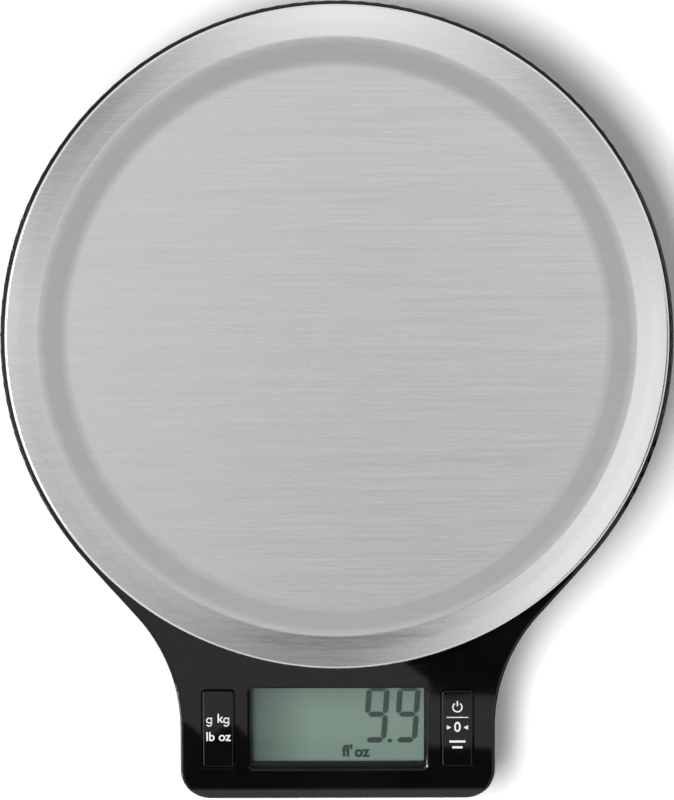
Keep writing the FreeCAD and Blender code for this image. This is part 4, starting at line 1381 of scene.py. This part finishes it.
@dataclass
class Studio:
    """Camera, lamps, world, floor and the cards that gloss and steel reflect."""

    height: float = 1.1
    lens: float = 176.8
    aside: float = 0.0
    ahead: float = 0.0001
    roll: float = -0.0025
    card: float = 1.3
    box_level: float = 0.2
    key_level: float = 11.6
    side_level: float = 1.2
    strip_level: float = 13.0
    world_level: float = 0.15
    front_edge: tuple[tuple[float, float], ...] = (
        (-75.0, -84.0), (-44.1, -88.3), (-41.4, -88.3), (-39.2, -89.7), (-37.6, -91.3), (-35.4, -91.9),
        (-33.2, -90.8), (-30.7, -89.1), (-27.7, -88.8), (-25.8, -91.3), (-23.9, -92.7), (0.8, -93.2),
        (22.8, -93.8), (25.0, -95.1), (44.7, -95.7), (75.0, -93.0),
    )  # near edge of the front card's reflection on the sloping face, in mm
    right_patch: tuple[tuple[float, float], ...] = (
        (15.1, -68.6), (20.6, -73.5), (25.0, -76.8), (25.5, -80.6), (29.6, -81.4), (37.8, -80.3),
        (44.7, -81.4), (110.0, -79.5), (110.0, -14.0), (44.0, -14.0), (22.0, -52.0),
    )  # outline of the right card's reflection, in mm
    outer_tones: tuple[float, ...] = (0.68, 0.62, 0.25, 1.25, 1.2, 0.5, 1.35, 0.3, 0.68)
    inner_tones: tuple[float, ...] = (0.78, 0.76, 0.42, 0.4, 0.74, 0.68, 0.66, 0.77, 0.78)
    middle_tone: float = 0.9
    ceiling_reach: float = 3.0
    stage: list[bpy.types.Object] = field(default_factory=list)

    def build(self) -> None:
        """Makes everything round the object."""
        self.camera()
        self.lamps()
        self.world()
        self.floor()
        self.sky_card()
        self.dark_cards()
        LOG.info("studio: %d stage pieces", len(self.stage))

    def camera(self) -> None:
        """Camera straight above, looking down."""
        data = bpy.data.cameras.new("camera")
        data.lens = self.lens
        data.clip_start, data.clip_end = 0.05, 50.0
        camera = bpy.data.objects.new("camera", data)
        camera.location = (self.aside, self.ahead, self.height)
        camera.rotation_euler = (0.0, 0.0, self.roll)
        bpy.context.scene.collection.objects.link(camera)
        bpy.context.scene.camera = camera

    def lamp(
        self, name: str, at: Point, towards: Point, size: tuple[float, float], level: float, mirrored: bool
    ) -> None:
        """Adds a flat lamp.

        Args:
            name: lamp's name.
            at: its middle.
            towards: the point that it faces.
            size: width and length in metres.
            level: its brightness, where 1 shows as white.
            mirrored: whether it shows only in gloss and metal, or else only lights other surfaces.
        """
        data = bpy.data.lights.new(name, "AREA")
        data.shape, data.size, data.size_y = "RECTANGLE", size[0], size[1]
        data.energy = level * 4.0 * size[0] * size[1]
        lamp = bpy.data.objects.new(name, data)
        lamp.location = at
        lamp.rotation_euler = (Vector(towards) - Vector(at)).to_track_quat("-Z", "Y").to_euler()
        lamp.visible_camera = False
        lamp.visible_diffuse, lamp.visible_glossy = not mirrored, mirrored
        bpy.context.scene.collection.objects.link(lamp)

    def lamps(self) -> None:
        """A box overhead, a key from the left, a weak one from the front right and a strip for edges."""
        middle = (0.0, 0.0, 0.0)
        self.lamp("overhead_box", (0.0, 0.2, 1.6), (0.0, 0.2, 0.0), (2.4, 2.0), self.box_level, False)
        self.lamp("key", (-0.38, -0.2, 1.2), middle, (0.76, 0.46), self.key_level, False)
        self.lamp("side", (0.62, -0.62, 1.0), middle, (0.5, 0.3), self.side_level, False)
        self.lamp("strip", (-1.1, -0.1, 0.17), middle, (0.9, 0.2), self.strip_level, True)

    def world(self) -> None:
        """Even light all round that shows as white where it is seen or mirrored."""
        world = bpy.data.worlds.new("studio")
        bpy.context.scene.world = world
        s = Shader("studio", world)
        plain, white = (
            s.add("ShaderNodeBackground", None, {"Color": WHITE, "Strength": strength})
            for strength in (self.world_level, 1.0)
        )
        s.end(s.add("ShaderNodeMixShader", None, {0: s.shown(), 1: plain, 2: white}))

    def floor(self) -> None:
        """Wide plain floor under the feet."""
        bm = bmesh.new()
        bmesh.ops.create_grid(bm, x_segments=8, y_segments=8, size=6.0)
        mesh = bpy.data.meshes.new("floor")
        bm.to_mesh(mesh)
        bm.free()
        mesh.materials.append(FloorPaint().material())
        floor = bpy.data.objects.new("floor", mesh)
        floor.visible_diffuse = floor.visible_glossy = False
        bpy.context.scene.collection.objects.link(floor)
        self.stage.append(floor)

    def mirrored(self, x: float, y: float) -> Point:
        """Place on the cards' level that the sloping face shows at a point.

        Args:
            x: across, in mm.
            y: along, in mm.

        Returns:
            The place in metres.
        """
        normal = (FACE.to_3x3() @ Vector((0.0, 0.0, 1.0))).normalized()
        at = Vector((x * MM, y * MM, FACE_Z + (y * MM - FACE_Y) * math.tan(SLOPE)))
        up = (Vector((self.aside, 0.0, self.height)) - at).normalized()
        way = 2.0 * normal.dot(up) * normal - up
        return tuple(at + way * ((self.card - at.z) / way.z))

    def hang(self, name: str, outline: Sequence[Point], material: bpy.types.Material) -> None:
        """Adds a card that only reflections see.

        Args:
            name: card's name.
            outline: its corners in metres.
            material: its finish.
        """
        mesh = bpy.data.meshes.new(name)
        mesh.from_pydata(list(outline), [], [list(range(len(outline)))])
        mesh.materials.append(material)
        card = bpy.data.objects.new(name, mesh)
        for flag in ("visible_camera", "visible_diffuse", "visible_transmission", "visible_shadow"):
            setattr(card, flag, False)
        bpy.context.scene.collection.objects.link(card)
        self.stage.append(card)

    def sky_card(self) -> None:
        """Pale ceiling whose tone changes gently from side to side."""
        s = Shader("ceiling")
        flat = s.place((1.0, 1.0, 0.0))
        around = s.add("ShaderNodeTexGradient", {"gradient_type": "RADIAL"}, {"Vector": flat}, 1)
        radius = s.add("ShaderNodeVectorMath", {"operation": "LENGTH"}, {0: flat}, 1)

        def tones(levels: Sequence[float]) -> Signal:
            """Grey levels from the left round by the front, the right and the back."""
            stops = [(i / (len(levels) - 1), (v, v, v, 1.0)) for i, v in enumerate(levels)]
            return s.add("ShaderNodeValToRGB", {"stops": stops}, {"Fac": around})

        grey = (self.middle_tone,) * 3 + (1.0,)
        near = s.blend(s.span(radius, 0.2, 0.34), tones(self.inner_tones), grey)
        colour = s.blend(s.span(radius, 0.5, 0.66), near, tones(self.outer_tones))
        glow = s.add("ShaderNodeEmission", None, {"Color": colour, "Strength": 1.0})
        level, count = self.card + 0.02, 64
        angles = [2 * math.pi * k / count for k in range(count)]
        reach = self.ceiling_reach
        outline = [(reach * math.cos(a), reach * math.sin(a), level) for a in angles]
        self.hang("ceiling_card", outline, s.end(glow))

    def dark_cards(self) -> None:
        """Dark cards over the front and the right and beside the head, seen in the gloss."""
        s = Shader("card_black")
        cloud = s.noise(s.place(), 4.0, 3.0)
        colour = s.blend(cloud, rgb("#050505"), rgb("#0c0c0c"))
        black = s.surface(Base_Color=colour, Roughness=0.9, Specular_IOR_Level=0.0)
        front = [self.mirrored(x, y) for x, y in self.front_edge]
        self.hang("front_card", front + [(0.28, -0.7, self.card), (-0.28, -0.7, self.card)], black)
        self.hang("right_card", [self.mirrored(x, y) for x, y in self.right_patch], black)
        self.hang("side_card", [(0.8, -0.9, 0.0), (0.8, 0.1, 0.0), (0.8, 0.1, 0.5), (0.8, -0.9, 0.5)], black)


@dataclass
class Housing:
    """Base, cover, feet and case screws."""

    foot_x: float = 57.108
    foot_y: float = 46.047
    foot_r: float = 8.0
    grooves: tuple[float, ...] = (2.0, 4.2, 6.2)
    screw_radius: float = 79.0
    screw_angles: tuple[float, ...] = (62.0, 118.0, 194.0, 346.0)
    head_screws: tuple[tuple[float, float], ...] = ((-34.0, -78.75), (34.0, -78.75))

    def build(self, turning: Recipe, screws: Recipe, copies: Recipe) -> None:
        """Builds and dresses the housing.

        Args:
            turning: recipe for turned shapes.
            screws: recipe for screws.
            copies: recipe for a grid of copies.
        """
        skin("top_cover", "cover_shell", GLOSS, 24.0, 7.0 * MM)
        skin("base_shell", "base_tray", SHELL, 26.0, 7.0 * MM)
        self.feet(turning, copies)
        self.screws(screws)

    def feet(self, turning: Recipe, copies: Recipe) -> None:
        """Four rubber feet with grooved soles.

        Args:
            turning: recipe for turned shapes.
            copies: recipe for a grid of copies.
        """
        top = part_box("foot_rear_left")[1].z / MM
        profile: list[tuple[float, float, float]] = [(0.0, 0.0, 0.0)]
        for at in self.grooves:
            profile += [(at - 0.45, 0.0, 0.12), (at - 0.25, 0.35, 0.1)]
            profile += [(at + 0.25, 0.35, 0.1), (at + 0.45, 0.0, 0.12)]
        profile += [(self.foot_r, 0.0, 0.5), (self.foot_r, top, 0.3), (0.0, top, 0.0)]
        one = turned("foot", eased(profile, 3), Rubber("foot_rubber"), 56, turning)
        values = {"Span X": 2 * self.foot_x * MM, "Span Y": 2 * self.foot_y * MM, "Count X": 2, "Count Y": 2}
        place = Matrix.Translation((0.0, DISC_Y, 0.0))
        feet = copies.make("rubber_feet", Rubber("foot_rubber"), one.data.copy(), values, place)
        bpy.data.objects.remove(one)
        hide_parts("foot_rear_left", "foot_rear_right", "foot_front_left", "foot_front_right")
        fit(feet, Body.HOUSING)

    def screws(self, recipe: Recipe) -> None:
        """Six case screws, driven from below.

        Args:
            recipe: for screws.
        """
        low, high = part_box("case_screws")
        seat, ring = 8.0 * MM, self.screw_radius
        turns = [math.radians(a) for a in self.screw_angles]
        places = [(ring * math.cos(t), ring * math.sin(t)) for t in turns] + list(self.head_screws)
        points = [(x * MM, DISC_Y + y * MM, seat) for x, y in places]
        values = {"Head Height": seat - low.z, "Shank Length": high.z - seat}
        values["Turn"] = (Sense.DOWN.value, 0.0, 0.0)
        row = recipe.make("case_fixings", SCREW, points_mesh("case_points", points), values)
        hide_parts("case_screws")
        fit(row, Body.HOUSING)


@dataclass
class Platform:
    """Steel plate, carrier, foam and its two screws."""

    sheet: float = 0.6
    profile: tuple[tuple[float, float, float], ...] = (
        (0.0, 35.2, 0.0),
        (73.65, 35.2, 8.0),
        (81.2, 36.03, 2.6),
        (85.9, 35.15, 14.0),
        (90.3, 33.55, 1.3),
        (90.3, 28.0, 0.9),
        (88.0, 28.0, 0.0),
    )

    def build(self, turning: Recipe, screws: Recipe) -> None:
        """Builds and dresses the platform.

        Args:
            turning: recipe for turned shapes.
            screws: recipe for screws.
        """
        self.plate(turning)
        skin("platform_carrier", "plate_carrier", CARRIER)
        dress("platform_foam", Foam("foam_tape"))
        dress("load_cell_spacer", ALUMINIUM)
        low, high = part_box("load_cell_platform_screws")
        seat = high.z - M4_HEAD
        points = [(x * MM, DISC_Y, seat) for x in (20.0, 35.0)]
        values = {**M4_SCREW, "Shank Length": seat - low.z}
        row = screws.make("plate_fixings", SCREW, points_mesh("plate_points", points), values)
        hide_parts("load_cell_platform_screws")
        fit(row, Body.PLATFORM)

    def plate(self, turning: Recipe) -> None:
        """Pressed sheet with a raised ring and a rolled skirt.

        Args:
            turning: recipe for turned shapes.
        """
        outer = eased(self.profile, 10)
        steps = 22
        flat_end = outer[1].x
        flat = [Vector((flat_end * k / steps, outer[0].y)) for k in range(steps)]
        outer = flat + outer[1:]
        inner: list[Vector] = []
        for i, p in enumerate(outer):
            before = outer[max(i - 1, 0)]
            after = outer[min(i + 1, len(outer) - 1)]
            way = (after - before).normalized()
            inner.append(p + Vector((way.y, -way.x)) * self.sheet * MM)
        inner[0] = Vector((0.0, outer[0].y - self.sheet * MM))
        plate = turned("steel_platform", outer + inner[::-1], STEEL, 240, turning)
        plate.data.transform(Matrix.Translation((0.0, DISC_Y, 0.0)))
        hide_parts("platform_plate")
        fit(plate, Body.PLATFORM)


@dataclass
class Display:
    """Lens, layered display, its frame and the marks that it shows."""

    digit_width: float = 6.3
    digit_half: float = 7.15
    stroke: float = 1.42
    lean: float = 0.07
    digits: tuple[float, float] = (10.6, 19.1)
    point_x: float = 14.25
    point_half: float = 0.48
    middle: float = -40.4

    def build(self) -> None:
        """Builds and dresses the display."""
        dress("window_lens", Clear("lens_clear", (0.96, 0.97, 0.96, 1.0), 1.2))
        dress("lcd_front_film", DisplayFilm("display_film"))
        for node in ("lcd_front_glass", "lcd_rear_glass"):
            dress(node, Clear("display_glass", (0.9, 0.93, 0.91, 1.0), 1.5))
        dress("lcd_reflector", Metal("display_mirror", "#a9b3ac", 0.45, (0.05, 1.0, 1.0)))
        dress("lcd_frame", Plastic("frame_matt", "#111112", 0.6))
        dress("zebra_connectors", Striped("layered_strip", "#1c1c1e", "#8a8a86"))
        self.reading()

    def reading(self) -> None:
        """Seven-bar figures, the point and the unit, over the film."""
        art = Artwork(0.02 * MM)
        for at in self.digits:
            self.nine(art, at)
        art.box(self.point_x, self.middle - self.digit_half - 0.2, self.point_half, self.point_half)
        art.text(Sign.FLUID.value, 2.6, -50.75, 4.4, 0.12)
        art.text(Sign.OUNCE.value, 6.6, -50.9, 4.2, 0.12)
        reading = art.make("display_reading", -4.15 * MM, SEGMENT)
        fit(reading, Body.HOUSING)

    def nine(self, art: Artwork, x: float) -> None:
        """Adds a 9 as six bars.

        Args:
            art: where it is drawn.
            x: figure's middle in mm.
        """
        w, h, t = self.digit_width / 2 - self.stroke / 2, self.digit_half, self.stroke / 2
        gap = 0.2
        a, b = gap - w, w - gap
        for y0 in (h, 0.0, -h):
            upper, lower = [(a + t, y0 + t), (b - t, y0 + t)], [(b - t, y0 - t), (a + t, y0 - t)]
            self.bar(art, x, [(a, y0), *upper, (b, y0), *lower])
        for side, low, high in ((-w, 0.0, h), (w, 0.0, h), (w, -h, 0.0)):
            a, b = low + gap, high - gap
            right, left = [(side + t, a + t), (side + t, b - t)], [(side - t, b - t), (side - t, a + t)]
            self.bar(art, x, [(side, a), *right, (side, b), *left])

    def bar(self, art: Artwork, x: float, points: Sequence[tuple[float, float]]) -> None:
        """Adds one slanted bar.

        Args:
            art: where it is drawn.
            x: figure's middle in mm.
            points: bar's outline about the figure's middle, in mm.
        """
        art.polygon([(x + px + self.lean * py, self.middle + py) for px, py in points])


@dataclass
class Keys:
    """Two long keys with plain signs, their switches and stems."""

    key_x: float = 32.8
    lift: float = 0.125
    middle: float = -43.65

    def build(self) -> None:
        """Builds and dresses the keys."""
        skin("unit_key", "unit_key_cap", GLOSS, 24.0)
        skin("tare_key", "tare_key_cap", GLOSS, 24.0)
        stem = Plastic("switch_stem", "#c9c4b8", 0.4)
        body = Metal("switch_case", "#b4b5b3", 0.35)
        for side in ("unit", "tare"):
            skin(f"{side}_switch", f"{side}_switch_case", body)
            skin(f"{side}_switch_stem", f"{side}_stem", stem)
        self.unit_signs()
        self.tare_signs()

    def unit_signs(self) -> None:
        """Gram and ounce signs."""
        art = Artwork(0.012 * MM)
        for step in (-2.5, 2.2):
            art.gram(step - self.key_x, self.middle + 2.4, 0.66, 0.32)
        art.text(Sign.KILO.value, 0.5 - self.key_x, self.middle + 2.85, 3.5, 0.05)
        art.text(Sign.POUND.value, -self.key_x, self.middle - 2.2, 3.5, 0.05)
        fit(art.make("unit_key_signs", self.lift * MM, WHITE_INK), Body.UNIT)

    def tare_signs(self) -> None:
        """Power sign, a bar, a zero between two marks and two short bars."""
        art = Artwork(0.012 * MM)
        x, y = self.key_x, self.middle + 5.9
        art.arc(x, y, 1.25, 0.36, 125.0, 415.0)
        art.box(x, y + 1.0, 0.18, 0.75)
        art.box(x, self.middle + 3.1, 3.0, 0.13)
        zero = self.middle + 0.3
        art.text(Sign.ZERO.value, x, zero, 3.9, 0.05)
        for side in (-1.0, 1.0):
            tip, tail = x + side * 1.7, x + side * 2.9
            art.polygon([(tip, zero), (tail, zero + side * 0.65), (tail, zero - side * 0.65)])
        for drop, half in ((3.6, 2.2), (5.2, 1.4)):
            art.box(x, self.middle - drop, half, 0.3)
        fit(art.make("tare_key_signs", self.lift * MM, WHITE_INK), Body.TARE)


@dataclass
class Weighing:
    """Load cell, its gauges, fixings and leads."""

    def build(self, screws: Recipe) -> None:
        """Builds and dresses the load cell.

        Args:
            screws: recipe for screws.
        """
        skin("load_cell_beam", "weighing_beam", ALUMINIUM)
        dress("load_cell_shim", ALUMINIUM)
        dress("strain_gauges", Striped("gauge_grid", "#b87436", "#d8a25f", "X", 0.5, 0.6, 0.35))
        skin("gauge_sealant", "gauge_coating", SEALANT)
        dress("load_cell_lead_clamp", GLUE)
        skin("overload_stop_screw", "stop_screw", SCREW)
        lead = Plastic("lead_white", "#d8d6ce", 0.42, 900.0)
        skin("load_cell_leads", "weighing_leads", lead, 60.0)
        low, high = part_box("load_cell_base_screws")
        seat = low.z + M4_HEAD
        points = [(x * MM, DISC_Y, seat) for x in (-20.0, -35.0)]
        values = {**M4_SCREW, "Shank Length": high.z - seat, "Turn": (Sense.DOWN.value, 0.0, 0.0)}
        row = screws.make("base_fixings", SCREW, points_mesh("base_points", points), values)
        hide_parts("load_cell_base_screws")
        fit(row, Body.HOUSING)


@dataclass
class Power:
    """Two cells, contacts, springs, leads and the door."""

    ridges: int = 7
    ridge_span: float = 12.0

    def build(self, coils: Recipe, copies: Recipe) -> None:
        """Builds and dresses the battery bay.

        Args:
            coils: recipe for springs.
            copies: recipe for a grid of copies.
        """
        self.cells()
        for node in ("battery_bridge_contact", "battery_positive_contact", "battery_negative_contact"):
            dress(node, NICKEL)
        skin("battery_leads", "power_leads", Plastic("lead_red", "#a3201c", 0.42, 900.0), 60.0)
        self.springs(coils)
        self.door(copies)

    def cells(self) -> None:
        """Jackets with their bands set from each cell's own ends."""
        for node, way in (("battery_a", 1.0), ("battery_b", -1.0)):
            low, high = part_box(node)
            front = (high.x if way > 0 else low.x) / MM
            jacket = Jacket(node + "_jacket", round(front, 2), way, round((low.y + high.y) / 2 / MM, 2))
            skin(node, node + "_cell", jacket)

    def springs(self, coils: Recipe) -> None:
        """Two conical springs against the cells' flat ends.

        Args:
            coils: recipe for springs.
        """
        low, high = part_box("battery_springs")
        parts = []
        for node, side in (("battery_a", -1.0), ("battery_b", 1.0)):
            cell_low, cell_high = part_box(node)
            end = cell_low.x if side < 0 else cell_high.x
            wall = low.x if side < 0 else high.x
            at = (wall - side * 0.3 * MM, (cell_low.y + cell_high.y) / 2, (cell_low.z + cell_high.z) / 2)
            values = {"Turns": 3.5, "Wide Radius": 2.6 * MM, "Narrow Radius": 1.3 * MM}
            values |= {"Length": abs(wall - end) - 0.65 * MM, "Turn": (0.0, -side * math.pi / 2, 0.0)}
            start = points_mesh("spring_point", [at])
            parts.append(coils.make(f"spring_{len(parts)}", NICKEL, start, values))
        joined = bmesh.new()
        for part in parts:
            joined.from_mesh(part.data)
            bpy.data.objects.remove(part)
        mesh = bpy.data.meshes.new("contact_springs")
        joined.to_mesh(mesh)
        joined.free()
        springs = settle("contact_springs", mesh, NICKEL, 60.0)
        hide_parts("battery_springs")
        fit(springs, Body.HOUSING)

    def door(self, copies: Recipe) -> None:
        """Door, its latch and a grip of ridges.

        Args:
            copies: recipe for a grid of copies.
        """
        skin("battery_door", "door_panel", SHELL)
        skin("battery_door_latch", "door_latch", SHELL)
        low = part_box("battery_door")[0]
        ridge = bar_mesh("ridge", (0.7 * MM, 8.0 * MM, 0.5 * MM), 0.15 * MM)
        values = {"Span X": self.ridge_span * MM, "Span Y": 0.0, "Count X": self.ridges, "Count Y": 1}
        place = Matrix.Translation((0.0, low.y + 8.5 * MM, low.z))
        grip = copies.make("door_grip", SHELL, ridge, values, place)
        fit(grip, Body.DOOR)


@dataclass
class Electronics:
    """Circuit board and what is on it."""

    def build(self, screws: Recipe) -> None:
        """Builds and dresses the board.

        Args:
            screws: recipe for screws.
        """
        dress("circuit_board", Board("board_mask"))
        resin = Plastic("blob_resin", "#141415", 0.3, 300.0, 0.0002)
        sleeve = Striped("capacitor_sleeve", "#1f2c44", "#b9bcc2", "X", 4.0, 0.25, 0.35)
        resistor = Striped("resistor_body", "#171718", "#c9c7c0", "X", 2.0, 0.2, 0.4)
        skin("controller_blob", "controller_cap", resin, 60.0)
        skin("converter_chip", "converter_case", PART_BLACK)
        skin("timing_crystal", "crystal_case", Metal("crystal_can", "#cbccca", 0.25))
        skin("board_capacitors", "capacitor_cans", sleeve)
        dress("board_resistors", resistor)
        skin("board_screws", "board_fixings", SCREW)


def main() -> None:
    """Builds the sub-assemblies in order."""
    logging.basicConfig(level=logging.INFO, format="%(name)s: %(message)s")
    bpy.context.scene.view_settings.view_transform = "Standard"
    turning, screws, coils, copies = revolve_recipe(), screw_recipe(), coil_recipe(), row_recipe()
    Studio().build()
    Housing().build(turning, screws, copies)
    Platform().build(turning, screws)
    Display().build()
    Keys().build()
    Weighing().build(screws)
    Power().build(coils, copies)
    Electronics().build(screws)


if __name__ == "__main__":
    main()
